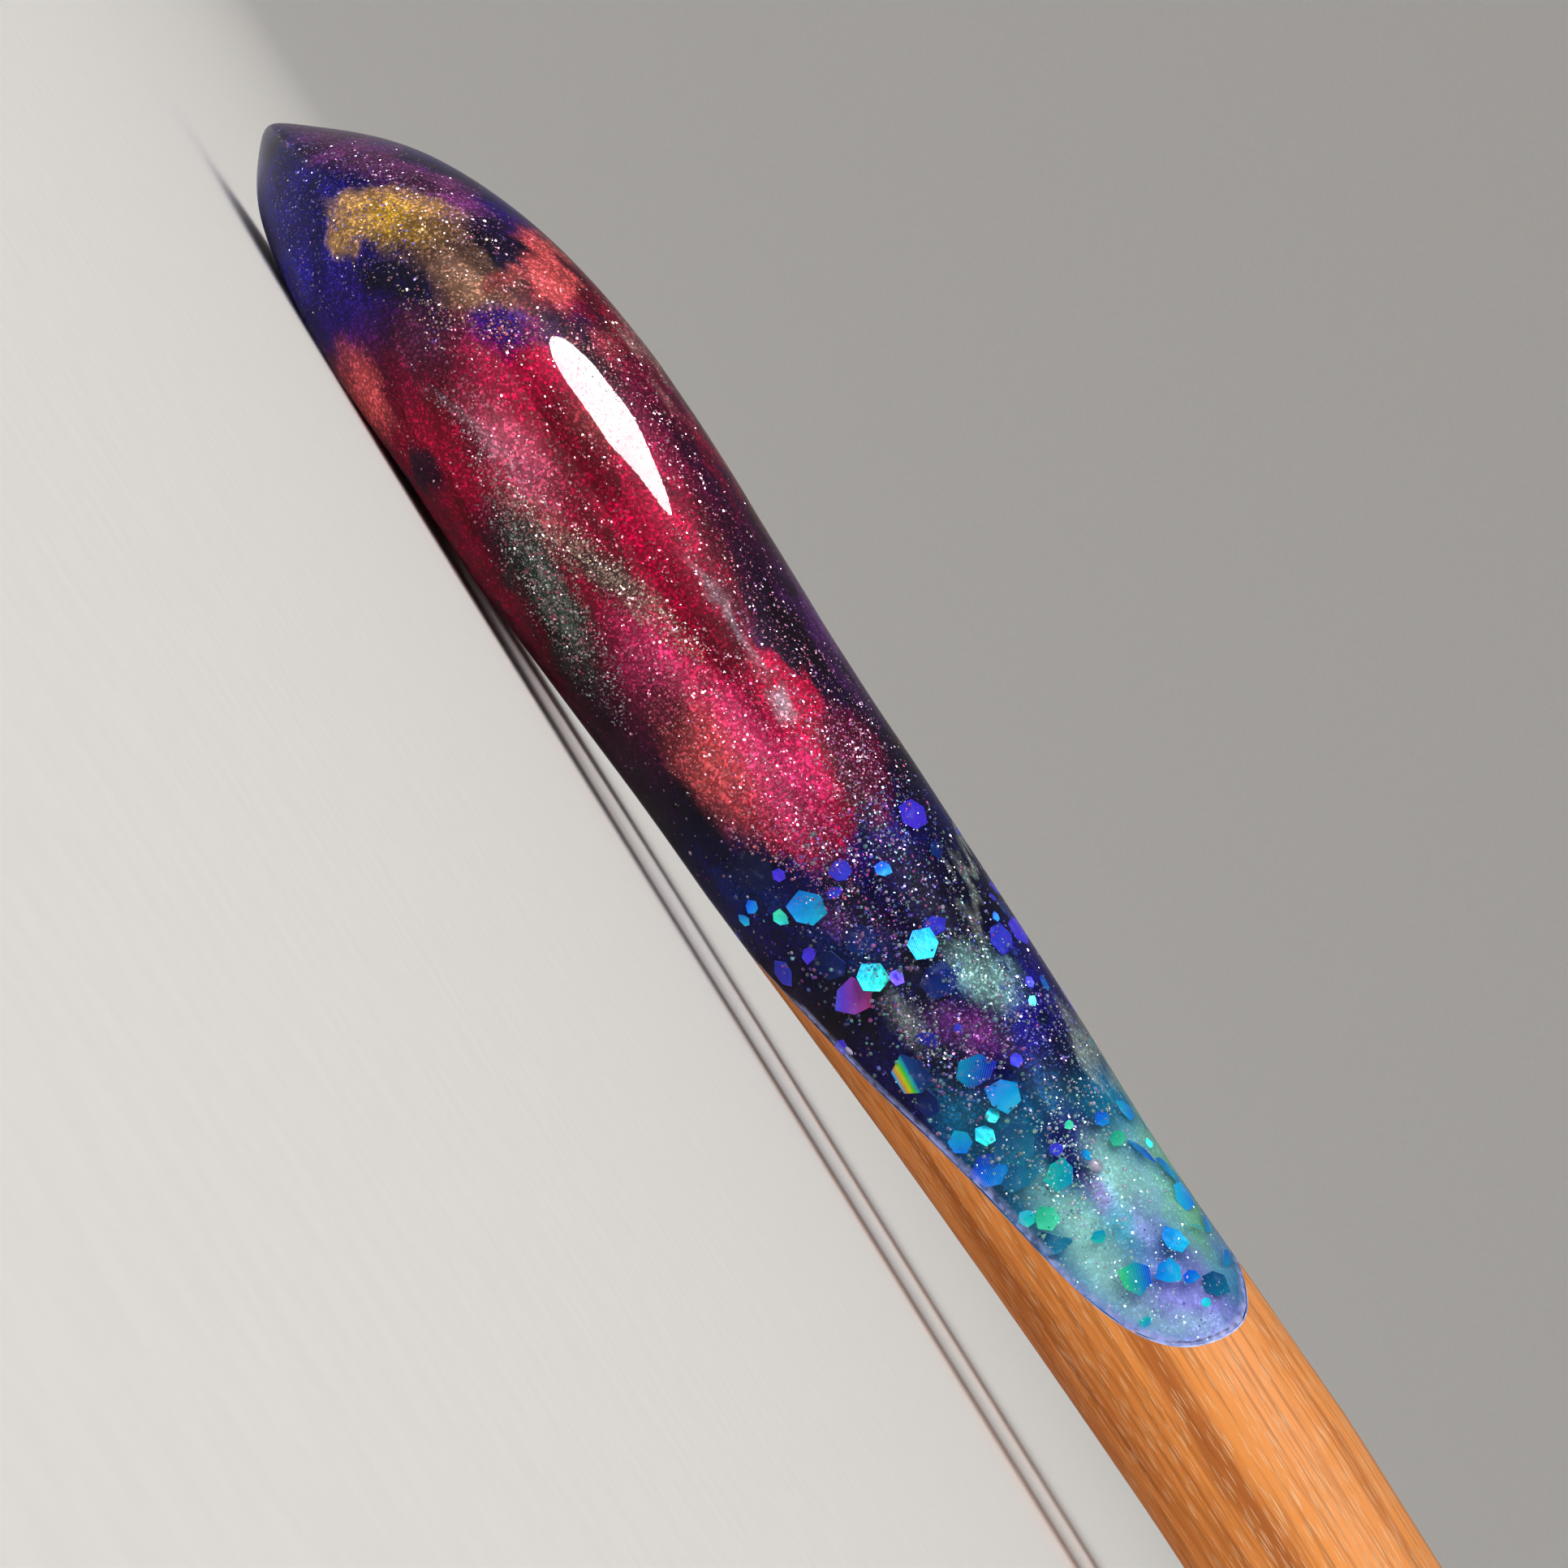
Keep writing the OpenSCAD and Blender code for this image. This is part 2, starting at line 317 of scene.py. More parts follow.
# Base pigment by distance from the crown's edge, in millimetres, and where the last one ends
BASE_BANDS = (
    (0.0, Pearl.ULTRAMARINE),
    (5.2, Pearl.ULTRAMARINE),
    (7.6, Pearl.VIOLET),
    (9.0, Pearl.RUBY),
    (12.0, Pearl.CRIMSON),
    (18.0, Pearl.CRIMSON),
    (22.0, Pearl.RUBY),
    (24.4, Pearl.PLUM),
    (26.0, Pearl.NIGHT),
    (29.0, Pearl.NAVY),
    (33.0, Pearl.NIGHT),
    (37.0, Pearl.NAVY),
    (39.5, Pearl.TEAL),
    (43.0, Pearl.TEAL),
    (46.0, Pearl.LAVENDER),
    (54.0, Pearl.LAVENDER),
)
BAND_SPAN = 54.0

# Half width of a cloud across the fork, in millimetres, so that it reaches the far side too
ACROSS_ALL = 1000.0

# Height of the fork's middle by distance from the crown's edge, both in millimetres. Clouds are placed on
# the heart, so what belongs to them on the skin lies farther from that middle, by the factor of SPREAD.
MIDDLE = ((0.0, 2.2), (2.0, 2.6), (5.0, 3.3), (12.0, 4.3), (48.0, 5.9))
SPREAD = 1.07


class Graph:
    """Node tree of one material, with a short call for each node."""

    def __init__(self, name: str) -> None:
        """Starts an empty material.

        Args:
            name: Name of the material.
        """
        self.material = bpy.data.materials.new(name)
        self.material.use_nodes = True
        self.tree = self.material.node_tree
        self.tree.nodes.clear()

    def add(self, kind: str, inputs: Inputs | None = None, **settings: object) -> bpy.types.Node:
        """Adds a node.

        Args:
            kind: Type of the node, without its ShaderNode prefix.
            inputs: Values or sockets for its inputs, by name or number.
            settings: Values for its own properties.

        Returns:
            The node.
        """
        node = self.tree.nodes.new("ShaderNode" + kind)
        for name, value in settings.items():
            setattr(node, name, value)
        for name, value in (inputs or {}).items():
            if isinstance(value, Socket):
                self.tree.links.new(value, node.inputs[name])
            else:
                node.inputs[name].default_value = value
        return node

    def out(self, kind: str, inputs: Inputs | None = None, **settings: object) -> Socket:
        """First output of a new node, from the same arguments as add."""
        return self.add(kind, inputs, **settings).outputs[0]

    def math(self, operation: str, a: object, b: object = 0.0, clamp: bool = False) -> Socket:
        """Result of a Math node on a and b."""
        return self.out("Math", {0: a, 1: b}, operation=operation, use_clamp=clamp)

    def blend(self, share: object, under: object, over: object, mode: str = "MIX") -> Socket:
        """Colour of a Mix node that lays one colour over another by a share."""
        inputs = {0: share, 6: under, 7: over}
        return self.add("Mix", inputs, data_type="RGBA", blend_type=mode).outputs[2]

    def spread(
        self, value: Socket, low: float, high: float, to_low: float = 0.0, to_high: float = 1.0
    ) -> Socket:
        """Value of a smooth Map Range node.

        Args:
            value: The socket to map.
            low: Value that becomes to_low.
            high: Value that becomes to_high.
            to_low: Result at low.
            to_high: Result at high.

        Returns:
            The mapped value.
        """
        inputs = {0: value, 1: low, 2: high, 3: to_low, 4: to_high}
        return self.out("MapRange", inputs, interpolation_type="SMOOTHSTEP")

    def lay(self, under: object, over: str, value: Socket, span: Pair, most: float = 1.0) -> Socket:
        """Colour with another over it, whose share grows to the most as a value crosses a span."""
        return self.blend(self.spread(value, *span, 0.0, most), under, linear(over))

    def vary(self, texture: Socket, low: float, high: float) -> Socket:
        """Value that follows a noise from low to high over the noise's usual range."""
        return self.spread(texture, *NOISE_RANGE, low, high)

    def millimetres(self) -> Socket:
        """Object coordinates in millimetres, with x from the crown's edge."""
        here = self.add("TexCoord").outputs["Object"]
        return self.out("Mapping", {0: here, 1: (-EDGE_X / MM, 0, 0), 3: (1 / MM,) * 3})

    def axis(self, spot: Socket, number: int) -> Socket:
        """One of a place's three coordinates."""
        return self.add("SeparateXYZ", {0: spot}).outputs[number]

    def noise(
        self, spot: Socket, scale: float, detail: float, output: str = "Fac", **more: float
    ) -> Socket:
        """Noise texture's value or colour at a place, with its scale for one millimetre."""
        inputs = {"Vector": spot, "Scale": scale, "Detail": detail, **more}
        return self.add("TexNoise", inputs).outputs[output]

    def bump(self, height: Socket, strength: float, depth: float) -> Socket:
        """Normal of a Bump node, with its depth in millimetres."""
        return self.out("Bump", {"Height": height, "Strength": strength, "Distance": depth * MM})

    def ramp(self, value: Socket, stops: tuple[tuple[float, str], ...]) -> Socket:
        """Colour of a Color Ramp node.

        Args:
            value: The socket that runs along the ramp.
            stops: Place and colour code of each stop.

        Returns:
            The colour.
        """
        node = self.add("ValToRGB", {0: value})
        elements = node.color_ramp.elements
        while len(elements) < len(stops):
            elements.new(0.5)
        for element, (at, code) in zip(elements, stops):
            element.position = at
            element.color = linear(code)
        return node.outputs[0]

    def finish(self, surface: Socket) -> Material:
        """Joins the surface to the output and returns the material."""
        self.add("OutputMaterial", {"Surface": surface})
        return self.material

    def principled(self, inputs: Inputs) -> Material:
        """Material with a Principled surface that has these inputs."""
        return self.finish(self.out("BsdfPrincipled", inputs))

    def faded(self, share: Socket, inputs: Inputs) -> Material:
        """Material with a Principled surface by a share, and clear for the rest."""
        clear, solid = self.out("BsdfTransparent"), self.out("BsdfPrincipled", inputs)
        return self.finish(self.out("MixShader", {0: share, 1: clear, 2: solid}))


@dataclass(frozen=True)
class ClearResin:
    """Polished clear casting resin, which lets the lamps reach what lies in it.

    Mirror is the share of the reflection that its outside keeps. The rubbed places are a little rougher.
    """

    colour: str = "#f6f2fa"
    refraction: float = 1.43
    mirror: float = 0.55
    rubbed_range: Pair = (0.35, 0.75)
    roughness: Pair = (0.012, 0.05)

    def material(self) -> Material:
        """Makes the material of the casting's skin.

        Returns:
            The material.
        """
        graph = Graph("clear_resin")
        spot = graph.millimetres()
        rubbed = graph.noise(spot, scale=0.9, detail=4.0)
        roughness = graph.spread(rubbed, *self.rubbed_range, *self.roughness)
        waves = graph.noise(spot, scale=6.0, detail=2.0)
        bump = graph.bump(waves, strength=0.02, depth=0.02)
        polish = {"Roughness": roughness, "Normal": bump}
        tint = linear(self.colour)
        bent = graph.out("BsdfRefraction", {"Color": tint, "IOR": self.refraction, **polish})
        gloss = graph.out("BsdfGlossy", polish)
        fresnel = graph.out("Fresnel", {"IOR": self.refraction, "Normal": bump})
        inside = graph.add("NewGeometry").outputs["Backfacing"]
        share = graph.math("MULTIPLY", fresnel, graph.spread(inside, 0.0, 1.0, self.mirror, 1.0))
        glass = graph.out("MixShader", {0: share, 1: bent, 2: gloss})
        clear = graph.out("BsdfTransparent", {"Color": tint})
        shadow = graph.add("LightPath").outputs["Is Shadow Ray"]
        return graph.finish(graph.out("MixShader", {0: shadow, 1: glass, 2: clear}))


@dataclass(frozen=True)
class Mottled:
    """Finish with a mottle of two colours, which also varies its roughness."""

    name: str
    deep: str
    pale: str
    scale: float
    detail: float
    roughness: Pair

    def material(self) -> Material:
        """Makes the material in the finish's own name.

        Returns:
            The material.
        """
        graph = Graph(self.name)
        mottle = graph.noise(graph.millimetres(), self.scale, self.detail)
        colour = graph.lay(linear(self.deep), self.pale, mottle, MID_RANGE)
        return graph.principled(
            {"Base Color": colour, "Roughness": graph.vary(mottle, *self.roughness)}
        )


# Pale glue where the resin meets the wood, and air that was caught in the resin
BOND = Mottled("bond_line", "#7488c8", "#b4c4f0", 2.2, 4.0, (0.4, 0.6))
AIR = Mottled("air_bubble", "#b8b4c4", "#e6e4ea", 4.0, 2.0, (0.08, 0.2))


@dataclass(frozen=True)
class GlueCloud:
    """Bluish white cloud in the resin beside the joint, which fades out away from it."""

    pale: str = "#d4e2ff"
    deep: str = "#8ca4e4"
    ragged_range: Pair = (0.35, 0.6)
    least: float = 0.3
    roughness: float = 0.6

    def material(self) -> Material:
        """Makes the material of the fringe.

        Returns:
            The material.
        """
        graph = Graph("glue_cloud")
        nearness = graph.axis(graph.out("UVMap", uv_map="nearness"), 1)
        mottle = graph.noise(graph.millimetres(), scale=3.5, detail=3.0)
        ragged = graph.spread(mottle, *self.ragged_range, self.least, 1.0)
        colour = graph.blend(mottle, linear(self.deep), linear(self.pale))
        inputs = {"Base Color": colour, "Roughness": self.roughness}
        return graph.faded(graph.math("MULTIPLY", ragged, nearness), inputs)


@dataclass(frozen=True)
class Pigment:
    """Swirled pearl pigment, painted cloud over cloud.

    Stirs are the wide curls and the fine ones, each with its scale for one millimetre and its reach in
    millimetres. Drift is how far the colours wander where away says that the side faces away from the
    camera. Silk is the brightness of the fine streaks: the pigment's flow, lighter and darker as a painted
    silky sheen. Platelets are the pearl's grain, most of them dulled and a few bright as painted glints.
    Both fade between the two distances of fading, from the first share of shares to the second.
    """

    stirs: tuple[Pair, ...] = ((0.45, 1.0), (1.9, 0.7))
    drift: float = 16.0
    drift_scale: float = 0.13
    away: Pair = (-7.0, 4.0)
    draw: Triple = (0.5, 1.0, 1.0)
    streak_turn: float = -7.0
    streak_draw: Triple = (0.2, 0.6, 0.7)
    silk_range: Pair = (0.32, 0.68)
    silk: Pair = (0.45, 1.6)
    fading: Pair = (34.0, 42.0)
    shares: Pair = (0.9, 0.2)
    platelet: float = 0.07
    rarity: float = 5.0
    # Brightness of the painted glints on the few bright platelets.
    painted_sparkle: float = 2.4
    dull: float = 0.62
    metallic: Pair = (0.0, 0.07)
    roughness: Pair = (0.3, 0.48)

    def material(self) -> Material:
        """Makes the material of the pigmented heart of the casting.

        Returns:
            The material.
        """
        graph = Graph("pearl_pigment")
        spot = graph.millimetres()
        flow = self._flow(graph, spot)
        along = graph.math("DIVIDE", graph.axis(flow, 0), BAND_SPAN, True)
        colour = graph.ramp(along, tuple((x / BAND_SPAN, pearl.value) for x, pearl in BASE_BANDS))
        for patch in PATCHES:
            share = self._share(graph, flow, patch)
            colour = graph.blend(share, colour, linear(patch.pearl.value))
        # Fine streaks of the pigment's flow; their lighter and darker lines are a painted silky sheen.
        turn = (0, math.radians(self.streak_turn), 0)
        streaks = graph.out("Mapping", {0: flow, 2: turn, 3: self.streak_draw})
        silk = graph.noise(streaks, scale=1.0, detail=2.0, Distortion=0.3)
        drawn = graph.spread(graph.axis(spot, 0), *self.fading, *self.shares)
        lines = self._grey(graph, graph.spread(silk, *self.silk_range, *self.silk))
        colour = graph.blend(drawn, colour, lines, "MULTIPLY")
        # The platelets' grain, a few of them bright as painted glints, multiplied into the colour.
        glints = self._grey(graph, self._grain_and_painted_glints(graph, spot, drawn))
        colour = graph.blend(1.0, colour, glints, "MULTIPLY")
        dust = graph.noise(spot, scale=9.0, detail=2.0)
        return graph.principled(
            {
                "Base Color": colour,
                "Metallic": graph.spread(silk, *SILK_RANGE, *self.metallic),
                "Roughness": graph.vary(dust, *self.roughness),
                "Specular IOR Level": 0.03,
                "Normal": graph.bump(dust, strength=0.3, depth=0.04),
            }
        )

    @staticmethod
    def _grey(graph: Graph, value: Socket) -> Socket:
        """Grey colour of a value."""
        return graph.out("CombineColor", {0: value, 1: value, 2: value})

    def _flow(self, graph: Graph, spot: Socket) -> Socket:
        """Stirs the coordinates by noise, more so away from the side that the camera sees.

        Args:
            graph: The material's graph.
            spot: Coordinates in millimetres.

        Returns:
            The stirred coordinates.
        """
        drift = graph.spread(graph.axis(spot, 1), *self.away, 0.0, self.drift)
        for scale, amount in (*self.stirs, (self.drift_scale, drift)):
            drawn = graph.out("Mapping", {0: spot, 3: self.draw})
            stir = graph.noise(drawn, scale, 1.0, "Color")
            stir = graph.out("VectorMath", {0: stir, 1: (0.5, 0.5, 0.5)}, operation="SUBTRACT")
            stir = graph.out("VectorMath", {0: stir, "Scale": amount}, operation="SCALE")
            spot = graph.out("VectorMath", {0: spot, 1: stir}, operation="ADD")
        return spot

    @staticmethod
    def _share(graph: Graph, flow: Socket, patch: Patch) -> Socket:
        """Works out how much of a patch's colour shows at each place.

        Args:
            graph: The material's graph.
            flow: The stirred coordinates.
            patch: The patch.

        Returns:
            The share, from 0 to the patch's cover.
        """
        inputs = {
            0: flow,
            1: (patch.x, 0, patch.z),
            2: (0, -math.radians(patch.turn), 0),
            3: (patch.half_x, ACROSS_ALL, patch.half_z),
        }
        oval = graph.out("Mapping", inputs, vector_type="TEXTURE")
        depth = graph.add("TexGradient", {0: oval}, gradient_type="SPHERICAL").outputs[1]
        return graph.spread(depth, 0.0, patch.edge, 0.0, patch.cover)

    def _grain_and_painted_glints(self, graph: Graph, spot: Socket, drawn: Socket) -> Socket:
        """Works out each platelet's brightness: the pearl's grain, most of them dull and a few bright as
        painted glints.

        Args:
            graph: The material's graph.
            spot: Coordinates in millimetres.
            drawn: Share of the grain and painted glints that shows there.

        Returns:
            The brightness.
        """
        cells = graph.add("TexVoronoi", {"Vector": spot, "Scale": 1 / self.platelet})
        dice = graph.out("SeparateColor", {0: cells.outputs["Color"]})
        bright = graph.math("MULTIPLY", graph.math("POWER", dice, self.rarity), drawn)
        base = graph.spread(drawn, *reversed(self.shares), 1.0, self.dull)
        return graph.math("ADD", graph.math("MULTIPLY", bright, self.painted_sparkle), base)


@dataclass(frozen=True)
class Foil:
    """Holographic foil of the flakes: a colour for each corner, crossed by fine bands."""

    metallic: float = 0.1
    roughness: Pair = (0.22, 0.36)
    hues: Pair = (0.47, 0.53)
    scuff_share: float = 0.1
    scuff_range: Pair = (0.55, 0.75)
    scuff_colour: str = "#dff8ff"
    rainbow: tuple[tuple[float, str], ...] = (
        (0.0, "#062a78"),
        (0.52, "#0a56a8"),
        (0.58, "#06d8e8"),
        (0.66, "#38ff30"),
        (0.76, "#f4ff20"),
        (0.84, "#ffb030"),
        (0.92, "#10c8ff"),
        (1.0, "#1440ff"),
    )

    def material(self) -> Material:
        """Makes the material of the foil flakes.

        Returns:
            The material.
        """
        graph = Graph("holographic_foil")
        painted = graph.add("VertexColor", layer_name="tint")
        across = graph.out("UVMap", uv_map="flake")
        share = graph.math("MULTIPLY_ADD", graph.axis(across, 0), 0.5)
        share.node.inputs[2].default_value = 0.5
        stripes = graph.ramp(share, self.rainbow)
        tint = graph.blend(painted.outputs["Alpha"], stripes, painted.outputs["Color"])
        wave = {"Vector": across, "Scale": 3.0, "Distortion": 0.6, "Detail": 1.0}
        bands = graph.add("TexWave", wave).outputs["Fac"]
        turn = graph.spread(bands, 0, 1, *self.hues)
        turned_tint = graph.out("HueSaturation", {"Hue": turn, "Color": tint})
        scuffs = graph.noise(graph.millimetres(), scale=3.0, detail=3.0)
        return graph.principled(
            {
                "Base Color": graph.lay(
                    turned_tint, self.scuff_colour, scuffs, self.scuff_range, self.scuff_share
                ),
                "Metallic": self.metallic,
                "Roughness": graph.vary(scuffs, *self.roughness),
                "Specular IOR Level": 0.06,
                "Normal": graph.bump(scuffs, strength=0.4, depth=0.04),
            }
        )


@dataclass(frozen=True)
class GlitterDust:
    """Loose fine glitter, a colour for each grain, with its share of shine in the colour's alpha."""

    metallic: Pair = (0.1, 0.9)
    roughness: Pair = (0.32, 0.48)
    shade: float = 0.12

    def material(self) -> Material:
        """Makes the material of the fine glitter.

        Returns:
            The material.
        """
        graph = Graph("glitter_dust")
        tint, shine = graph.add("VertexColor", layer_name="tint").outputs
        shade = graph.noise(graph.millimetres(), scale=8.0, detail=1.0)
        return graph.principled(
            {
                "Base Color": graph.lay(tint, WHITE, shade, PALE_RANGE, self.shade),
                "Metallic": graph.spread(shine, 0.0, 1.0, *self.metallic),
                "Roughness": graph.vary(shade, *self.roughness),
                "Specular IOR Level": 0.1,
            }
        )


@dataclass(frozen=True)
class PearlBead:
    """Tiny bead, half clear in its middle and pearly round its rim.

    Rim is the range of the facing angle over which it turns pearly, from its least share to the whole.
    """

    least: float = 0.45
    rim: Pair = (0.1, 0.8)
    roughness: Pair = (0.12, 0.25)
    mist: float = 0.2

    def material(self) -> Material:
        """Makes the material of the beads.

        Returns:
            The material.
        """
        graph = Graph("pearl_bead")
        tint = graph.out("VertexColor", layer_name="tint")
        mist = graph.noise(graph.millimetres(), scale=6.0, detail=1.0)
        facing = graph.add("LayerWeight", {"Blend": 0.5}).outputs["Facing"]
        return graph.faded(
            graph.spread(facing, *self.rim, self.least, 1.0),
            {
                "Base Color": graph.lay(tint, WHITE, mist, PALE_RANGE, self.mist),
                "Roughness": graph.vary(mist, *self.roughness),
                "Specular IOR Level": 1.0,
            },
        )


@dataclass(frozen=True)
class Hardwood:
    """Satin-oiled reddish brown hardwood, with grain along the prong and short pale pores.

    Draws are how rings, fibres and pores are drawn out, and slant is how far the grain is turned from the
    prong, in degrees. Each range says where a colour starts and is full, and each share how much then shows.
    """

    light: str = "#e8934a"
    middle: str = "#bb6b32"
    dark: str = "#87481c"
    pore: str = "#f2cfa4"
    slant: Triple = (0.0, 2.0, 1.5)
    ring_draw: Triple = (0.014, 0.8, 1.0)
    fibre_draw: Triple = (0.16, 7.0, 7.0)
    pore_draw: Triple = (0.8, 20.0, 20.0)
    light_range: Pair = (0.36, 0.56)
    dark_range: Pair = (0.46, 0.33)
    dark_share: float = 0.35
    fibre_range: Pair = (0.46, 0.66)
    fibre_share: float = 0.45
    pore_share: float = 0.5
    pore_crowd: Pair = (0.45, 0.9)
    pore_rim: Pair = (0.42, 0.2)
    roughness: Pair = (0.42, 0.6)

    def material(self) -> Material:
        """Makes the material of the prongs.

        Returns:
            The material.
        """
        graph = Graph("oiled_hardwood")
        spot = graph.millimetres()
        drawn = self._drawn(graph, spot, self.ring_draw)
        rings = graph.noise(drawn, scale=1.0, detail=6.0, Distortion=0.3)
        drawn = self._drawn(graph, spot, self.fibre_draw)
        fibres = graph.noise(drawn, scale=1.0, detail=4.0)
        pores = self._pores(graph, spot)
        colour = graph.lay(linear(self.middle), self.light, rings, self.light_range)
        colour = graph.lay(colour, self.dark, rings, self.dark_range, self.dark_share)
        colour = graph.lay(colour, self.dark, fibres, self.fibre_range, self.fibre_share)
        share = graph.math("MULTIPLY", pores, self.pore_share)
        colour = graph.blend(share, colour, linear(self.pore))
        height = graph.math("SUBTRACT", graph.math("MULTIPLY", fibres, 0.35), pores)
        return graph.principled(
            {
                "Base Color": colour,
                "Roughness": graph.vary(fibres, *self.roughness),
                "Specular IOR Level": 0.1,
                "Coat Weight": 0.02,
                "Coat Roughness": 0.3,
                "Normal": graph.bump(height, strength=0.4, depth=0.05),
            }
        )

    def _drawn(self, graph: Graph, spot: Socket, draw: Triple) -> Socket:
        """Place drawn out along the grain, which runs a little across the prong."""
        turn = tuple(math.radians(angle) for angle in self.slant)
        return graph.out("Mapping", {0: spot, 2: turn, 3: draw})

    def _pores(self, graph: Graph, spot: Socket) -> Socket:
        """Makes short dashes along the grain.

        Args:
            graph: The material's graph.
            spot: Coordinates in millimetres.

        Returns:
            1 in a pore and 0 outside it.
        """
        drawn = self._drawn(graph, spot, self.pore_draw)
        cells = graph.add("TexVoronoi", {"Vector": drawn, "Scale": 1.0})
        clumps = graph.noise(spot, scale=0.35, detail=2.0)
        crowd = graph.spread(clumps, *SILK_RANGE, *self.pore_crowd)
        dice = graph.out("SeparateColor", {0: cells.outputs["Color"]})
        slim = graph.spread(cells.outputs["Distance"], *self.pore_rim)
        return graph.math("MULTIPLY", graph.math("LESS_THAN", dice, crowd), slim)


@dataclass(frozen=True)
class StudioPaper:
    """Pale matt paper of the floor and backdrop."""

    colour: str = "#dcd8d2"
    fibre: str = "#cfcbc4"
    fibre_share: float = 0.25
    roughness: float = 0.9

    def material(self) -> Material:
        """Makes the material of the floor.

        Returns:
            The material.
        """
        graph = Graph("studio_paper")
        fibre = graph.noise(graph.add("TexCoord").outputs["Object"], scale=900.0, detail=3.0)
        colour = graph.lay(linear(self.colour), self.fibre, fibre, NOISE_RANGE, self.fibre_share)
        return graph.principled({"Base Color": colour, "Roughness": self.roughness})


def new_object(name: str, bm: BMesh, *materials: Material) -> Piece:
    """Makes an object of a bmesh.

    Args:
        name: Name of the object.
        bm: The mesh, which is freed.
        materials: Its materials, in the order of its faces' numbers.

    Returns:
        The object, in the scene.
    """
    mesh = bpy.data.meshes.new(name)
    bm.to_mesh(mesh)
    bm.free()
    for material in materials:
        mesh.materials.append(material)
    piece = bpy.data.objects.new(name, mesh)
    bpy.context.scene.collection.objects.link(piece)
    return piece


def resin_piece(name: str, bm: BMesh, material: Material) -> None:
    """Makes a piece that lies in the casting.

    Args:
        name: Name of the piece.
        bm: The mesh, which is freed.
        material: Its material.
    """
    piece = new_object(name, bm, material)
    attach(piece, "root")


def merged_node(node: str) -> BMesh:
    """Copies a CAD node, with its loose triangles merged, its joint marked and the rest joined to quads.

    The joint runs straight across each prong, so its faces are the only ones there without a sideways
    slope. They get the material number 1, and the edge round them stays sharp.

    Args:
        node: Name of the node.

    Returns:
        The new mesh.
    """
    bm = bmesh.new()
    bm.from_mesh(frame["nodes"][node].data)
    bmesh.ops.remove_doubles(bm, verts=bm.verts, dist=0.002 * MM)
    bm.normal_update()
    start, stop = (place(x, 0, 0).x for x in JOINT_SPAN)
    for face in bm.faces:
        face.smooth = True
        at_joint = start < face.calc_center_median().x < stop and abs(face.normal.y) < JOINT_SLOPE
        face.material_index = 1 if at_joint else 0
    bmesh.ops.join_triangles(
        bm, faces=bm.faces, cmp_materials=True, angle_face_threshold=0.8, angle_shape_threshold=3.1
    )
    crease = bm.edges.layers.float.new("crease_edge")
    for edge in bm.edges:
        if len({face.material_index for face in edge.link_faces}) > 1:
            edge.smooth = False
            edge[crease] = 1.0
    return bm


def welded_fork() -> BMesh:
    """Joins the three nodes to one surface, without the faces of their joints.

    Returns:
        The new mesh.
    """
    bm = bmesh.new()
    for node in ("crown", "left_prong", "right_prong"):
        part = merged_node(node)
        joint = [f for f in part.faces if f.material_index == 1]
        bmesh.ops.delete(part, geom=joint, context="FACES")
        take_in(bm, part)
    bmesh.ops.remove_doubles(bm, verts=bm.verts, dist=0.06 * MM)
    smooth_faces(bm)
    return bm


def take_in(whole: BMesh, part: BMesh) -> None:
    """Adds one bmesh to another and frees it.

    Args:
        whole: The mesh that grows.
        part: The mesh that is added.
    """
    mesh = bpy.data.meshes.new("part")
    part.to_mesh(mesh)
    part.free()
    whole.from_mesh(mesh)
    bpy.data.meshes.remove(mesh)


def smooth_faces(bm: BMesh) -> None:
    """Makes all faces shade smoothly."""
    for face in bm.faces:
        face.smooth = True


def fresh_verts(made: dict[str, list]) -> list[bmesh.types.BMVert]:
    """Corners that an extrusion made."""
    return [v for v in made["geom"] if isinstance(v, bmesh.types.BMVert)]


def apply_modifiers(piece: Piece) -> None:
    """Puts the result of a piece's modifiers into its mesh.

    Args:
        piece: The piece.
    """
    graph = bpy.context.evaluated_depsgraph_get()
    graph.update()
    mesh = bpy.data.meshes.new_from_object(piece.evaluated_get(graph), depsgraph=graph)
    piece.modifiers.clear()
    piece.data = mesh


def soften(piece: Piece, levels: int, regrowth: float = 0.8) -> None:
    """Subdivides a piece smoothly, keeps its mesh's creases, and undoes most of the shrinking.

    Args:
        piece: The piece.
        levels: How often its faces are divided.
        regrowth: Share of the shrinking that its corners are moved out by first.
    """
    modifier = piece.modifiers.new("smooth", "SUBSURF")
    modifier.levels = modifier.render_levels = levels
    if regrowth:
        graph = bpy.context.evaluated_depsgraph_get()
        graph.update()
        smooth = piece.evaluated_get(graph).to_mesh()
        for vert, now in zip(piece.data.vertices, smooth.vertices):
            vert.co += (vert.co - now.co) * regrowth
        piece.evaluated_get(graph).to_mesh_clear()
        piece.data.update()
    apply_modifiers(piece)
    low, high = CAD_BOX
    for vert in piece.data.vertices:
        vert.co = [max(low[i], min(high[i], vert.co[i])) for i in range(3)]


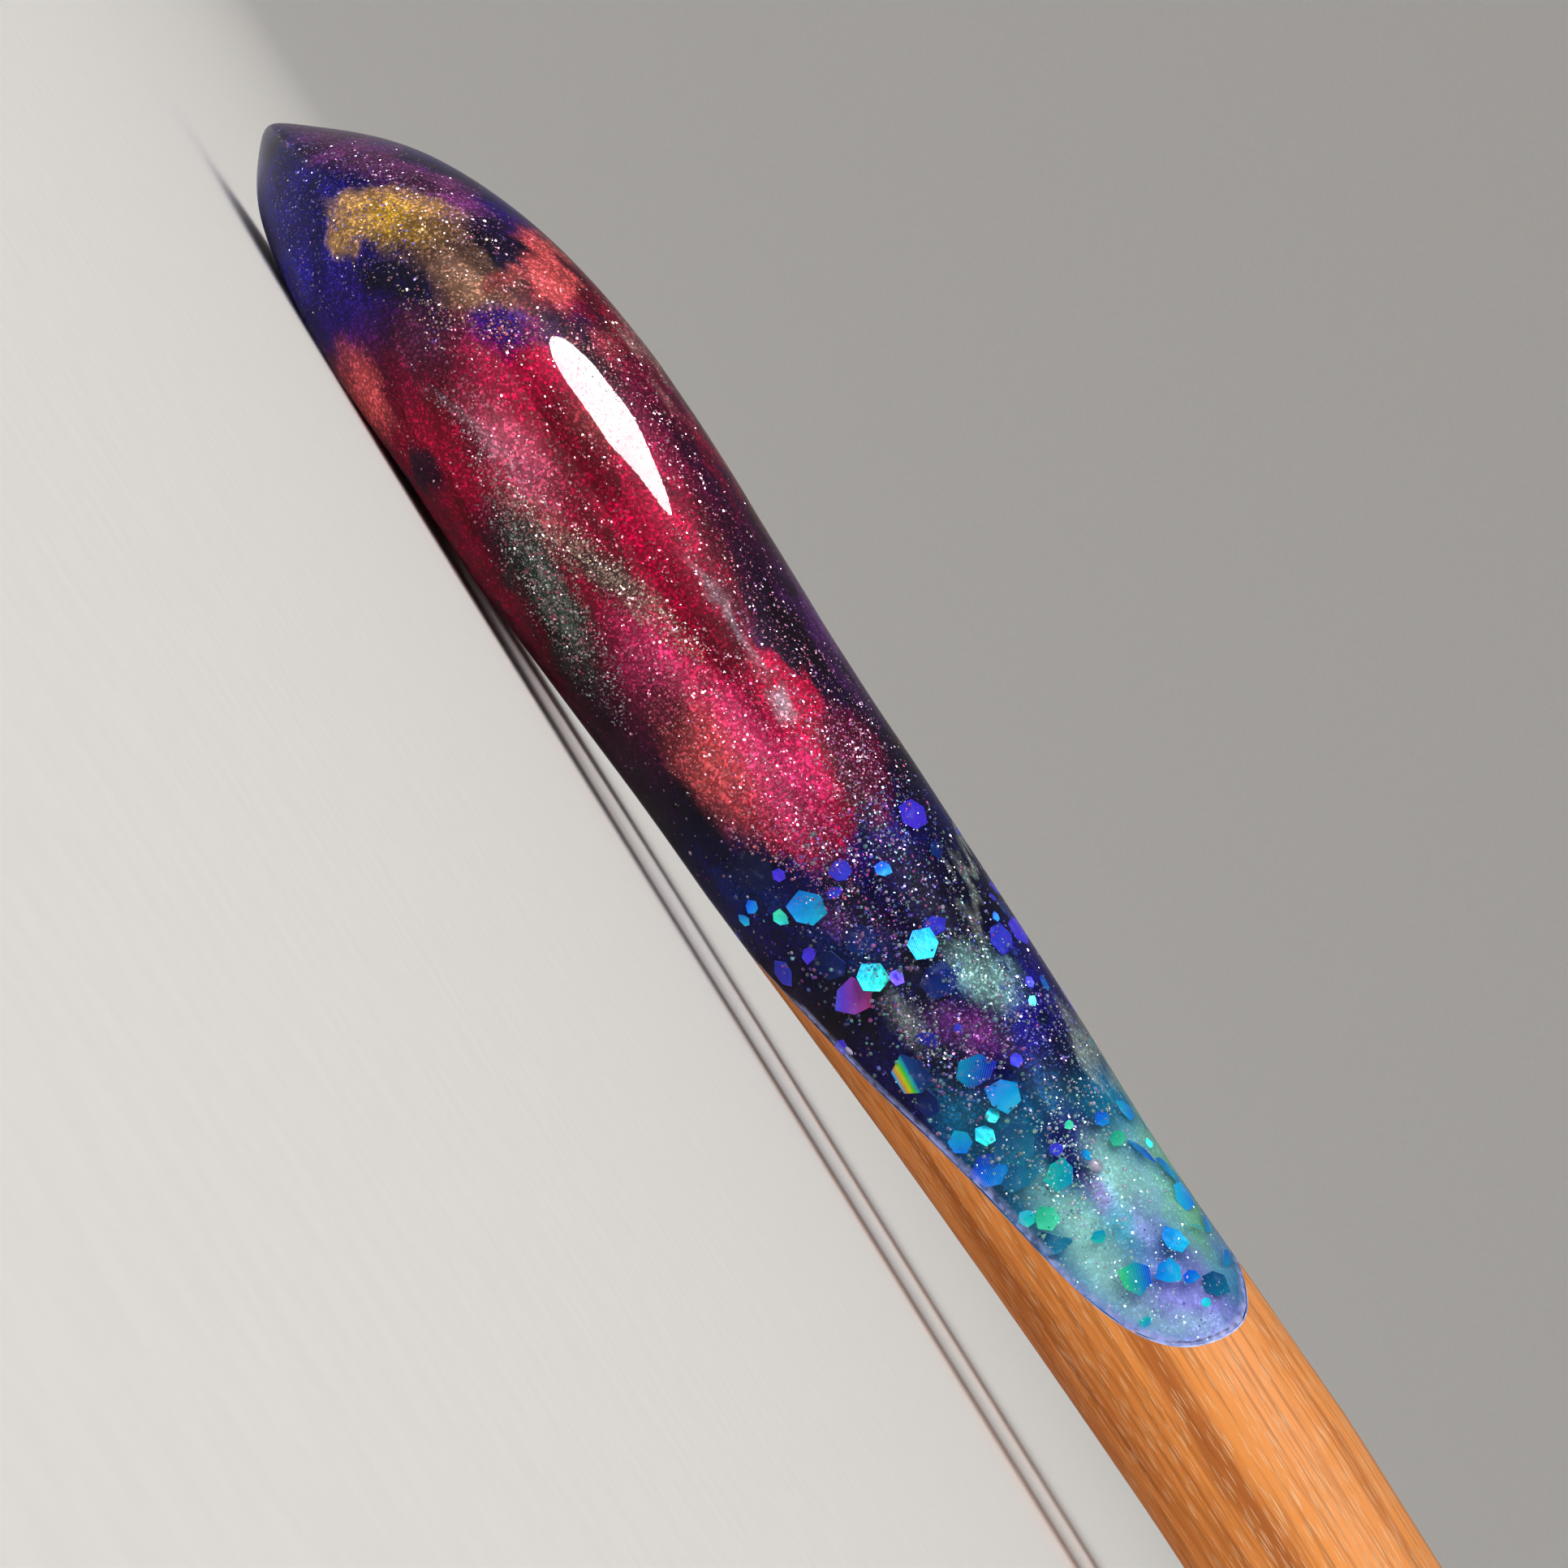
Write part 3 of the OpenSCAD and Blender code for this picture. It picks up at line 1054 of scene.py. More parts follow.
@dataclass
class Casting:
    """The resin crown: its clear skin, and the pigmented heart in it.

    Insets are the depth of the clear layer by distance from the crown's edge, and joint_gap is how far the
    heart stays from the joint.
    """

    heart_end: float = 53.0
    joint_gap: float = 0.06
    fold: float = 50.0
    insets: Levels = ((0, 0.3), (4, 0.45), (10, 0.6), (24, 0.65), (30, 0.85), (54, 0.85))
    skin: Piece = field(init=False)

    def build(self) -> None:
        """Builds the skin and the heart."""
        self.skin = self._skin()
        self._heart()

    def _skin(self) -> Piece:
        """Makes a smoothed copy of the crown, with sharp edges round the joint.

        Returns:
            The piece.
        """
        bm = merged_node("crown")
        bmesh.ops.recalc_face_normals(bm, faces=bm.faces)
        skin = new_object("resin_skin", bm, ClearResin().material(), BOND.material())
        soften(skin, 2)
        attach(skin, "root")
        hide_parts("crown")
        return skin

    def inset_at(self, x: float) -> float:
        """Depth of the clear layer at a distance from the crown's edge, in millimetres."""
        return level(self.insets, x)

    def _heart(self) -> None:
        """Makes the fork's form, drawn in from its surface and cut off at the joint."""
        bm = welded_fork()
        cut = bmesh.ops.bisect_plane(
            bm,
            geom=[*bm.verts, *bm.edges, *bm.faces],
            plane_co=place(self.heart_end, 0, 0),
            plane_no=(1, 0, 0),
            clear_outer=True,
        )
        rim = [e for e in cut["geom_cut"] if isinstance(e, bmesh.types.BMEdge)]
        bmesh.ops.holes_fill(bm, edges=rim, sides=0)
        bmesh.ops.recalc_face_normals(bm, faces=bm.faces)
        bm.normal_update()
        moves = [(v, v.normal * self.inset_at(distance(v.co)) * MM) for v in bm.verts]
        for vert, move in moves:
            vert.co -= move
        heart = new_object("pigment_heart", bm, Pigment().material())
        soften(heart, 1, 0.0)
        trimmer = new_object("trimmer", merged_node("crown"))
        trimmer.data.transform(Matrix.Translation((-self.joint_gap * MM, 0, 0)))
        trim = heart.modifiers.new("trim", "BOOLEAN")
        trim.operation = "INTERSECT"
        trim.solver = "EXACT"
        trim.object = trimmer
        apply_modifiers(heart)
        bpy.data.objects.remove(trimmer)
        for polygon in heart.data.polygons:
            polygon.use_smooth = True
        heart.data.set_sharp_from_angle(angle=math.radians(self.fold))
        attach(heart, "root")


@dataclass
class Skin:
    """The resin's surface, for placing things under it.

    Things are scattered as far as end from the crown's edge, and lie in the resin when cover millimetres of
    it are over them.
    """

    end: float = 46.5
    cover: float = 0.04
    side_plane: float = 13.45
    tree: BVHTree = field(init=False)
    solid: BVHTree = field(init=False)
    corners: list[tuple[Vector, Vector, Vector, Vector]] = field(default_factory=list)
    areas: list[float] = field(default_factory=list)

    def __post_init__(self) -> None:
        """Reads the surfaces of the whole fork and of the crown."""
        bm = welded_fork()
        bmesh.ops.triangulate(bm, faces=bm.faces)
        bm.normal_update()
        self.tree = BVHTree.FromBMesh(bm)
        stop = place(self.end, 0, 0).x
        for face in bm.faces:
            if face.calc_center_median().x < stop:
                self.corners.append((*(v.co.copy() for v in face.verts), face.normal.copy()))
                self.areas.append(face.calc_area())
        bm.free()
        crown = merged_node("crown")
        self.solid = BVHTree.FromBMesh(crown)
        crown.free()

    def holds(self, spot: Vector) -> bool:
        """Whether a point lies inside the resin, with some resin over it."""
        near, normal, _, _ = self.solid.find_nearest(spot)
        return (near - spot).dot(normal) > self.cover * MM

    def scatter(self, dice: random.Random, count: int) -> list[tuple[Vector, Vector]]:
        """Spreads points evenly on the resin, each with its outward normal.

        Args:
            dice: The source of chance.
            count: How many points.

        Returns:
            The points and normals.
        """
        spots = []
        for a, b, c, normal in dice.choices(self.corners, weights=self.areas, k=count):
            u, v = dice.random(), dice.random()
            if u + v > 1:
                u, v = 1 - u, 1 - v
            spots.append((a + (b - a) * u + (c - a) * v, normal))
        return spots

    def side(self, x: float, z: float) -> tuple[Vector, Vector]:
        """Finds a place on the near side.

        Args:
            x: Millimetres from the crown's edge.
            z: Millimetres above the surface.

        Returns:
            The point and its normal. Past the fork's outline, the normal faces straight sideways.
        """
        spot, normal, _, _ = self.tree.ray_cast(place(x, -40, z), Vector((0, 1, 0)))
        return (spot, normal) if spot else (place(x, -self.side_plane, z), Vector((0, -1, 0)))


class FlakeTint(Enum):
    """Colours of the foil flakes, from one corner to the far one."""

    CYAN = ("#0098ff", "#10e0ff")
    SKY = ("#0860ff", "#08b4ff")
    BLUE = ("#0a04f0", "#1038ff")
    BLUE_CYAN = ("#0408ff", "#00e0ff")
    GREEN = ("#10e0a0", "#58ffc0")
    VIOLET = ("#2a04ff", "#4c18ff")
    DEEP = ("#081c68", "#0a409c")
    INKY = ("#080a3c", "#082458")
    SEA = ("#04588c", "#0894b0")
    TURQUOISE = ("#00ccf0", "#14ffd8")
    MINT = ("#40ffb0", "#20e0d8")
    RAINBOW = ("#0a3a80", "#c8f028")
    GREEN_BLUE = ("#30ff80", "#1028ff")
    PINK_END = ("#1840e8", "#e0509c")


@dataclass(frozen=True)
class Flake:
    """One foil flake on the side that the camera sees.

    x and z are millimetres from the crown's edge and above the surface, size is its width, and depth is how
    deep it lies. Tilt and lean turn it away from the resin's surface and roll in its own plane, in degrees.
    """

    x: float
    z: float
    size: float
    tint: FlakeTint
    tilt: float = 0.0
    lean: float = 0.0
    roll: float = 0.0
    depth: float = 0.3


SEEN_FLAKES = (
    Flake(37.7, 5.73, 1.21, FlakeTint.CYAN, 5, -4, 10, 0.26),
    Flake(44.4, 6.23, 1.26, FlakeTint.GREEN_BLUE, 8, -6, 70, 0.28),
    Flake(44.1, 7.83, 1.02, FlakeTint.CYAN, -12, -20, 20, 0.28),
    Flake(44.8, 7.24, 0.87, FlakeTint.CYAN, 12, -10, 50, 0.34),
    Flake(45.3, 7.74, 0.63, FlakeTint.SKY, 8, -40, 10, 0.3),
    Flake(46.2, 7.69, 0.39, FlakeTint.TURQUOISE, 20, -10, 10, 0.3),
    Flake(32.6, 6.09, 1.11, FlakeTint.CYAN, -8, -6, 35, 0.25),
    Flake(32.7, 4.16, 1.06, FlakeTint.TURQUOISE, -34, -10, 30, 0.26),
    Flake(32.9, 3.29, 1.30, FlakeTint.PINK_END, 0, 20, 60, 0.4),
    Flake(35.8, 3.64, 1.46, FlakeTint.RAINBOW, 4, 8, 268, 0.26),
    Flake(36.6, 5.25, 1.31, FlakeTint.BLUE_CYAN, -34, -24, 235, 0.28),
    Flake(28.2, 2.62, 1.45, FlakeTint.INKY, 0, 0, 15, 0.5),
    Flake(30.0, 3.53, 1.21, FlakeTint.CYAN, -34, -20, 25, 0.34),
    Flake(29.7, 2.72, 0.63, FlakeTint.MINT, -34, -10, 0, 0.25),
    Flake(31.1, 2.86, 0.63, FlakeTint.VIOLET, -34, -10, 60, 0.3),
    Flake(31.7, 3.14, 1.21, FlakeTint.DEEP, 20, 8, 40, 0.5),
    Flake(29.5, 5.15, 0.77, FlakeTint.BLUE, 0, -30, 30, 0.3),
    Flake(30.1, 6.26, 0.63, FlakeTint.SKY, -14, -20, 10, 0.3),
    Flake(28.6, 3.39, 0.44, FlakeTint.VIOLET, -34, 0, 0, 0.25),
    Flake(29.2, 1.78, 0.44, FlakeTint.CYAN, -34, -20, 0, 0.25),
    Flake(29.0, 2.17, 0.58, FlakeTint.SKY, -34, -10, 30, 0.25),
    Flake(29.2, 8.05, 1.26, FlakeTint.VIOLET, 39, -4, 0, 0.3),
    Flake(33.1, 8.43, 0.39, FlakeTint.SKY, 10, -10, 0, 0.25),
    Flake(33.0, 4.76, 0.53, FlakeTint.VIOLET, -34, -10, 0, 0.3),
    Flake(35.3, 8.30, 0.44, FlakeTint.BLUE, 30, -20, 20, 0.3),
    Flake(35.8, 8.05, 0.39, FlakeTint.MINT, 10, -10, 20, 0.3),
    Flake(33.7, 6.00, 1.16, FlakeTint.DEEP, 10, -10, 45, 0.5),
    Flake(29.9, 4.57, 0.53, FlakeTint.BLUE, -34, -30, 45, 0.4),
    Flake(38.4, 4.57, 0.68, FlakeTint.TURQUOISE, -34, 0, 0, 0.28),
    Flake(38.1, 5.03, 0.53, FlakeTint.TURQUOISE, -34, -10, 20, 0.34),
    Flake(37.0, 6.66, 0.48, FlakeTint.BLUE, -2, -10, 10, 0.35),
    Flake(39.5, 4.01, 1.21, FlakeTint.SKY, -34, -10, 45, 0.3),
    Flake(41.2, 4.26, 0.58, FlakeTint.TURQUOISE, -34, -10, 0, 0.28),
    Flake(41.5, 4.74, 0.82, FlakeTint.GREEN, -34, -10, 30, 0.3),
    Flake(42.2, 4.44, 1.11, FlakeTint.SEA, -34, -10, 30, 0.45),
    Flake(39.1, 5.12, 1.45, FlakeTint.SEA, 4, 8, 10, 0.5),
    Flake(40.0, 4.74, 1.21, FlakeTint.SEA, -19, -8, 40, 0.5),
    Flake(40.7, 8.05, 0.68, FlakeTint.GREEN, 20, -40, 0, 0.3),
    Flake(39.9, 7.97, 0.53, FlakeTint.SKY, 40, -10, 0, 0.3),
    Flake(39.9, 6.18, 0.48, FlakeTint.BLUE, 3, -10, 0, 0.35),
    Flake(39.5, 7.02, 0.34, FlakeTint.GREEN, 10, -10, 0, 0.35),
    Flake(36.7, 3.43, 1.06, FlakeTint.DEEP, 15, 5, 0, 0.45),
    Flake(45.9, 8.33, 1.06, FlakeTint.SEA, 53, -5, 0, 0.4),
)


def turned(normal: Vector, tilt: float, lean: float, roll: float) -> Matrix:
    """Turns a flake that lies under the surface.

    Args:
        normal: Outward normal of the surface.
        tilt: Turn about the fork's length, in degrees. A positive one faces it down, a negative one up.
        lean: Turn about the direction across it, in degrees. A negative one faces it to the crown's edge.
        roll: Turn in the flake's own plane, in degrees.

    Returns:
        The rotation.
    """
    along = Vector((1, 0, 0))
    along = (along - normal * along.dot(normal)).normalized()
    basis = Matrix((along, normal.cross(along), normal)).transposed()
    own = Euler([math.radians(a) for a in (tilt, lean, roll)]).to_matrix()
    return (basis @ own).to_4x4()


@dataclass
class FoilFlakes:
    """Hexagonal foil flakes between the heart and the skin.

    Wear is how much of its radius a corner keeps, and deeper is how far a flake may sink to fit in the
    resin. Scattered flakes lie between first and last millimetres from the crown's edge. On the near prong
    none lie before bare. Those that face the camera by more than facing keep out of the room round the
    placed ones, thin out by the share of cleared, and are mostly dim before dim_end. Past green_start, give
    or take mixing, they are green.
    """

    skin: Skin
    thickness: float = 0.03
    swell: float = 1.15
    wear: Pair = (0.64, 1.0)
    seed: int = 7
    scattered: int = 620
    cleared: float = 0.55
    first: float = 26.5
    last: float = 46.5
    bare: float = 29.5
    prong_middle: Pair = (13.4, 5.6)
    facing: float = 0.35
    room: float = 0.25
    contrast: float = 1.2
    deeper: tuple[float, ...] = (0.0, 0.08, 0.16, 0.24, 0.32)
    sizes: tuple[float, ...] = (0.4, 0.5, 0.6, 0.8, 1.0, 1.1)
    depths: Pair = (0.2, 0.6)
    tumble: float = 26.0
    dim_end: float = 37.0
    dim_share: float = 0.75
    dim_depth: float = 0.75
    green_start: float = 38.0
    mixing: float = 2.0
    dim: tuple[FlakeTint, ...] = (FlakeTint.DEEP, FlakeTint.INKY, FlakeTint.BLUE)
    cool: tuple[FlakeTint, ...] = (
        FlakeTint.DEEP, FlakeTint.DEEP, FlakeTint.BLUE, FlakeTint.SKY, FlakeTint.CYAN, FlakeTint.VIOLET
    )
    green: tuple[FlakeTint, ...] = (
        FlakeTint.TURQUOISE, FlakeTint.CYAN, FlakeTint.SKY, FlakeTint.TURQUOISE
    )
    dice: random.Random = field(init=False)
    bm: BMesh = field(init=False)
    tint: bmesh.types.BMLayerItem = field(init=False)
    flat: bmesh.types.BMLayerItem = field(init=False)

    def build(self) -> None:
        """Builds all flakes as one piece."""
        self.dice = random.Random(self.seed)
        self.bm = bmesh.new()
        self.tint = self.bm.loops.layers.float_color.new("tint")
        self.flat = self.bm.loops.layers.uv.new("flake")
        for flake in SEEN_FLAKES:
            self._place(flake, *self.skin.side(flake.x, flake.z))
        for _ in range(self.scattered):
            self._scatter()
        resin_piece("foil_flakes", self.bm, Foil().material())

    def _place(self, flake: Flake, spot: Vector, normal: Vector) -> None:
        """Puts a flake under a point of the surface, deep enough for all its corners to lie in the resin.

        Args:
            flake: The flake.
            spot: The point of the surface.
            normal: The surface's normal there.
        """
        turn = turned(normal, flake.tilt, flake.lean, flake.roll)
        angles = [k * math.pi / 3 for k in range(6)]
        ring = [Vector((math.cos(a), math.sin(a), 0)) * flake.size / 2 * MM for a in angles]
        for deeper in self.deeper:
            matrix = Matrix.Translation(spot - normal * (flake.depth + deeper) * MM) @ turn
            if all(self.skin.holds(matrix @ corner) for corner in ring):
                self._flake(flake, matrix)
                return

    def _flake(self, flake: Flake, matrix: Matrix) -> None:
        """Adds one hexagonal flake with worn corners, coloured from corner to corner.

        Args:
            flake: The flake.
            matrix: Its place and turn.
        """
        radius = flake.size * self.swell / 2 * MM
        disc = bmesh.ops.create_circle(
            self.bm, cap_ends=True, segments=6, radius=radius, matrix=matrix
        )
        for corner in disc["verts"]:
            corner.co = matrix.translation.lerp(corner.co, self.dice.uniform(*self.wear))
        face = disc["verts"][0].link_faces[0]
        tops = fresh_verts(bmesh.ops.extrude_face_region(self.bm, geom=[face]))
        up = (matrix.to_3x3() @ Vector((0, 0, 1))).normalized()
        bmesh.ops.translate(self.bm, verts=tops, vec=up * self.thickness * MM)
        faces = {f for v in [*disc["verts"], *tops] if v.is_valid for f in v.link_faces}
        inverse = matrix.inverted()
        low, high = (linear(code) for code in flake.tint.value)
        for loop in (loop for f in faces for loop in f.loops):
            own = inverse @ loop.vert.co / (flake.size / 2 * MM)
            share = 0.5 + 0.5 * max(-1.0, min(1.0, own.x * self.contrast))
            loop[self.tint] = [a + (b - a) * share for a, b in zip(low, high)]
            if flake.tint is FlakeTint.RAINBOW:
                loop[self.tint][3] = 0.0
            loop[self.flat].uv = (own.x, own.y)

    def _crowded(self, spot: Vector) -> bool:
        """Whether a flake there would stand in front of one that the camera sees."""
        x, z = distance(spot), spot.z / MM
        return any(math.hypot(f.x - x, f.z - z) < f.size / 2 + self.room for f in SEEN_FLAKES)

    def _scatter(self) -> None:
        """Adds a flake on any side of the resin's lower stretch, away from those that the camera sees."""
        dice = self.dice
        x = dice.uniform(self.first, self.last)
        angle = dice.uniform(0, 2 * math.pi)
        way = dice.choice((-1, 1))
        across, up = self.prong_middle
        out = Vector((0, math.cos(angle), math.sin(angle)))
        spot, normal, _, _ = self.skin.tree.ray_cast(place(x, way * across, up), out)
        size, depth = dice.choice(self.sizes), dice.uniform(*self.depths)
        seen = spot is not None and way < 0 and normal.y < -self.facing
        hidden = dice.random() < self.cleared
        if spot is None or (way < 0 and x < self.bare) or (seen and (self._crowded(spot) or hidden)):
            return
        shifted = x + dice.uniform(-self.mixing, self.mixing)
        tint = dice.choice(self.green if shifted > self.green_start else self.cool)
        if seen and x < self.dim_end and dice.random() < self.dim_share:
            tint, depth = dice.choice(self.dim), self.dim_depth
        tilt, lean = dice.gauss(0, self.tumble), dice.gauss(0, self.tumble)
        self._place(Flake(x, 0, size, tint, tilt, lean, dice.uniform(0, 360), depth), spot, normal)


@dataclass(frozen=True)
class DustMix:
    """Colours of the loose glitter up to a distance from the crown's edge, in millimetres."""

    until: float
    tints: tuple[str, ...]


DUST = (
    DustMix(2.0, ("#3a3cff", "#6a66ff", "#b0a6ff", "#8890ff")),
    DustMix(6.5, ("#4a48e0", "#8a70e0", "#ffb0d8", "#ffe8f4")),
    DustMix(9.5, ("#fff0c0", "#ffd0a0", "#6a50d0", "#ff90a0")),
    DustMix(13.5, ("#ff6a88", "#ff9080", "#ffd8d0", "#ff4870")),
    DustMix(20.5, ("#ff5a78", "#ff8090", "#ffd8d0", "#e03868")),
    DustMix(28.0, ("#ff5a98", "#ffa0b8", "#ffe0e8", "#e0a0f0")),
    DustMix(38.0, ("#4c78ff", "#ff60c4", "#88f0d8", "#f0f4ff", "#7058ff")),
    DustMix(60.0, ("#c8fff0", "#d8d0ff", "#a0fff0", "#ffffff", "#c0ffc8")),
)


def dust_colour(dice: random.Random, spot: Vector) -> Vector:
    """Draws one of the loose colours at a place."""
    return rgb(dice.choice(next(mix for mix in DUST if distance(spot) < mix.until).tints))


def in_batches(grains: list[tuple], add: Callable[..., None]) -> BMesh:
    """Makes many grains as one mesh, in batches, because an operator slows down as its mesh grows.

    Args:
        grains: What add needs for each grain.
        add: Adds a grain, from a mesh, its colour layer and what the grain's row says.

    Returns:
        The mesh.
    """
    whole = bmesh.new()
    for first in range(0, len(grains), BATCH):
        bm = bmesh.new()
        tint = bm.loops.layers.float_color.new("tint")
        for grain in grains[first : first + BATCH]:
            add(bm, tint, *grain)
        take_in(whole, bm)
    return whole


@dataclass
class LooseGlitter:
    """Fine glitter that floats in the clear layer, thicker where the pigment clouds carry it.

    Least is the share of tries that stays outside the clouds, up to each distance from the crown's edge. A
    cloud darker than dark carries the loose colours, and gathering draws its grains to its middle. Grains
    lie where the resin is deeper than shallowest. Dullest is the least brightness of a dull grain.
    """

    skin: Skin
    casting: Casting
    seed: int = 21
    tries: int = 60000
    per_square_mm: float = 100.0
    least: Levels = ((28.0, 0.05), (40.0, 0.13), (60.0, 0.08))
    cloud_share: float = 0.3
    sizes: Pair = (0.025, 0.06)
    squeeze: Pair = (0.4, 1.0)
    margin: float = 0.06
    shallowest: float = 0.3
    gathering: float = 0.7
    tumble: float = 34.0
    shiny_share: float = 0.35
    shiny_brightness: Pair = (0.7, 1.0)
    shiny_paleness: Pair = (0.0, 0.6)
    dullest: Levels = ((38, 0.35), (42, 0.85))
    paleness: Pair = (0.0, 0.15)
    dark: float = 0.2
    dice: random.Random = field(init=False)

    def build(self) -> None:
        """Builds all grains as one piece."""
        self.dice = random.Random(self.seed)
        kept = [
            (spot, normal, dust_colour(self.dice, spot))
            for spot, normal in self.skin.scatter(self.dice, self.tries)
            if self.dice.random() < self._thickness(distance(spot), spot.z / MM)
        ]
        for patch in PATCHES:
            kept += self._cluster(patch)
        kept = [g for g in kept if self.skin.holds(g[0] - g[1] * self.shallowest * MM)]
        resin_piece("loose_glitter", in_batches(kept, self._grain), GlitterDust().material())

    def _grain(
        self, bm: BMesh, tint: object, spot: Vector, normal: Vector, colour: Vector
    ) -> None:
        """Adds one grain under a point of the surface, shiny or dull.

        Args:
            bm: Mesh of the batch.
            tint: Its colour layer.
            spot: The point.
            normal: The surface's normal there.
            colour: The grain's colour.
        """
        dice = self.dice
        x = distance(spot)
        depth = dice.uniform(self.margin, self.casting.inset_at(x) - self.margin)
        tilt, lean = dice.gauss(0, self.tumble), dice.gauss(0, self.tumble)
        turn = turned(normal, tilt, lean, dice.uniform(0, 360))
        squeeze = Matrix.Diagonal((1.0, dice.uniform(*self.squeeze), 1.0, 1.0))
        matrix = Matrix.Translation(spot - normal * depth * MM) @ turn @ squeeze
        radius = mostly_small(dice, *self.sizes) * MM
        sides = dice.choice((3, 4, 5))
        grain = bmesh.ops.create_circle(
            bm, cap_ends=True, segments=sides, radius=radius, matrix=matrix
        )
        shiny = dice.random() < self.shiny_share
        strength = dice.uniform(level(self.dullest, x), 1.0)
        if shiny:
            strength = dice.uniform(*self.shiny_brightness)
            colour = colour.lerp(rgb(WHITE), dice.uniform(*self.shiny_paleness))
        for loop in grain["verts"][0].link_faces[0].loops:
            loop[tint] = (*(colour * strength), 1.0 if shiny else 0.0)

    def _thickness(self, x: float, z: float) -> float:
        """Works out the chance that a grain stays at a place.

        Args:
            x: Millimetres from the crown's edge.
            z: Millimetres above the surface.

        Returns:
            The chance.
        """
        middle = level(MIDDLE, x)
        z = middle + (z - middle) / SPREAD
        dense = [
            self.cloud_share * p.glitter * (1 - p.reach(x, z) ** 2) for p in PATCHES if p.glitter
        ]
        return max(next(share for until, share in self.least if x < until), *dense)

    def _cluster(self, patch: Patch) -> list[tuple[Vector, Vector, Vector]]:
        """Draws one cloud's grains on the near side, thinner towards its edge.

        Args:
            patch: The cloud.

        Returns:
            The point, normal and colour of each grain.
        """
        dice, grains = self.dice, []
        pearl, white = rgb(patch.pearl.value), rgb(WHITE)
        own = max(pearl) > self.dark
        turn = math.radians(patch.turn)
        area = math.pi * patch.half_x * patch.half_z
        for _ in range(round(patch.glitter * area * self.per_square_mm)):
            reach, angle = dice.random() ** self.gathering, dice.uniform(0, 2 * math.pi)
            along = patch.half_x * reach * math.cos(angle)
            across = patch.half_z * reach * math.sin(angle)
            x = patch.x + along * math.cos(turn) - across * math.sin(turn)
            z = patch.z + along * math.sin(turn) + across * math.cos(turn)
            middle = level(MIDDLE, x)
            spot, normal = self.skin.side(x, middle + (z - middle) * SPREAD)
            if normal.y > -SQUARE:
                if own:
                    colour = pearl.lerp(white, dice.uniform(*self.paleness))
                else:
                    colour = dust_colour(dice, spot)
                grains.append((spot, normal, colour))
        return grains


@dataclass
class Beads:
    """Tiny round beads between the flakes, in clumps, thickest on the side that the camera sees.

    Crowd is the share that is kept, and dimmest the least brightness, by distance from the crown's edge.
    """

    skin: Skin
    seed: int = 33
    near: int = 3400
    around: int = 6000
    first: float = 26.5
    last: float = 46.0
    heights: Pair = (1.8, 9.3)
    depths: Pair = (0.12, 0.6)
    sizes: Pair = (0.04, 0.085)
    clump: float = 1.1
    clump_middle: float = 0.55
    clump_swing: float = 0.9
    brightest: float = 0.95
    dimmest: Levels = ((38, 0.1), (42, 0.7))
    crowd: Levels = ((26.5, 0.1), (30, 0.4), (33.5, 1), (38.5, 1), (41.5, 0.4), (46, 0.25))
    dice: random.Random = field(init=False)

    def build(self) -> None:
        """Builds all beads as one piece."""
        dice = self.dice = random.Random(self.seed)
        spots = [
            self.skin.side(dice.uniform(self.first, self.last), dice.uniform(*self.heights))
            for _ in range(self.near)
        ]
        spots += self.skin.scatter(dice, self.around)
        kept = [(spot, normal) for spot, normal in spots if self._stays(spot, normal)]
        resin_piece("pearl_beads", in_batches(kept, self._bead), PearlBead().material())

    def _stays(self, spot: Vector, normal: Vector) -> bool:
        """Draws whether a bead is kept, by its distance from the crown's edge and by clumps.

        Args:
            spot: The point of the surface over it.
            normal: The surface's normal there.

        Returns:
            Whether it is kept.
        """
        x = distance(spot)
        if not self.first < x < self.last or normal.y < -SQUARE:
            return False
        if not self.skin.holds(spot - normal * self.depths[0] * MM):
            return False
        clump = self.clump_middle + self.clump_swing * noise.noise(spot / MM * self.clump)
        return self.dice.random() < level(self.crowd, x) * clump

    def _bead(self, bm: BMesh, tint: object, spot: Vector, normal: Vector) -> None:
        """Adds one bead under a point of the surface, mostly small and dim.

        Args:
            bm: Mesh of the batch.
            tint: Its colour layer.
            spot: The point.
            normal: The surface's normal there.
        """
        dice = self.dice
        radius = mostly_small(dice, *self.sizes) * MM
        matrix = Matrix.Translation(spot - normal * dice.uniform(*self.depths) * MM)
        made = bmesh.ops.create_icosphere(bm, subdivisions=1, radius=radius, matrix=matrix)
        colour = dust_colour(dice, spot)
        colour *= dice.uniform(level(self.dimmest, distance(spot)), self.brightest)
        for face in {f for v in made["verts"] for f in v.link_faces}:
            face.smooth = True
            for loop in face.loops:
                loop[tint] = (*colour, 1.0)


@dataclass
class Bubbles:
    """Small bubbles of air in the clear layer: x, z, width, length and depth of each in millimetres."""

    skin: Skin
    roll: float = 15.0
    bubbles: tuple[tuple[float, float, float, float, float], ...] = (
        (40.95, 7.05, 0.4, 0.55, 0.4),
        (34.2, 2.35, 0.2, 0.32, 0.25),
        (39.1, 3.1, 0.12, 0.2, 0.2),
        (22.4, 5.9, 0.1, 0.12, 0.3),
        (29.7, 7.3, 0.1, 0.1, 0.3),
    )

    def build(self) -> None:
        """Builds all bubbles as one piece."""
        bm = bmesh.new()
        for x, z, width, length, depth in self.bubbles:
            spot, normal = self.skin.side(x, z)
            matrix = Matrix.Translation(spot - normal * depth * MM) @ turned(normal, 0, 0, self.roll)
            matrix = matrix @ Matrix.Diagonal((length / width, 1.0, 1.0, 1.0))
            bmesh.ops.create_uvsphere(
                bm, u_segments=20, v_segments=12, radius=width / 2 * MM, matrix=matrix
            )
        smooth_faces(bm)
        resin_piece("air_bubbles", bm, AIR.material())


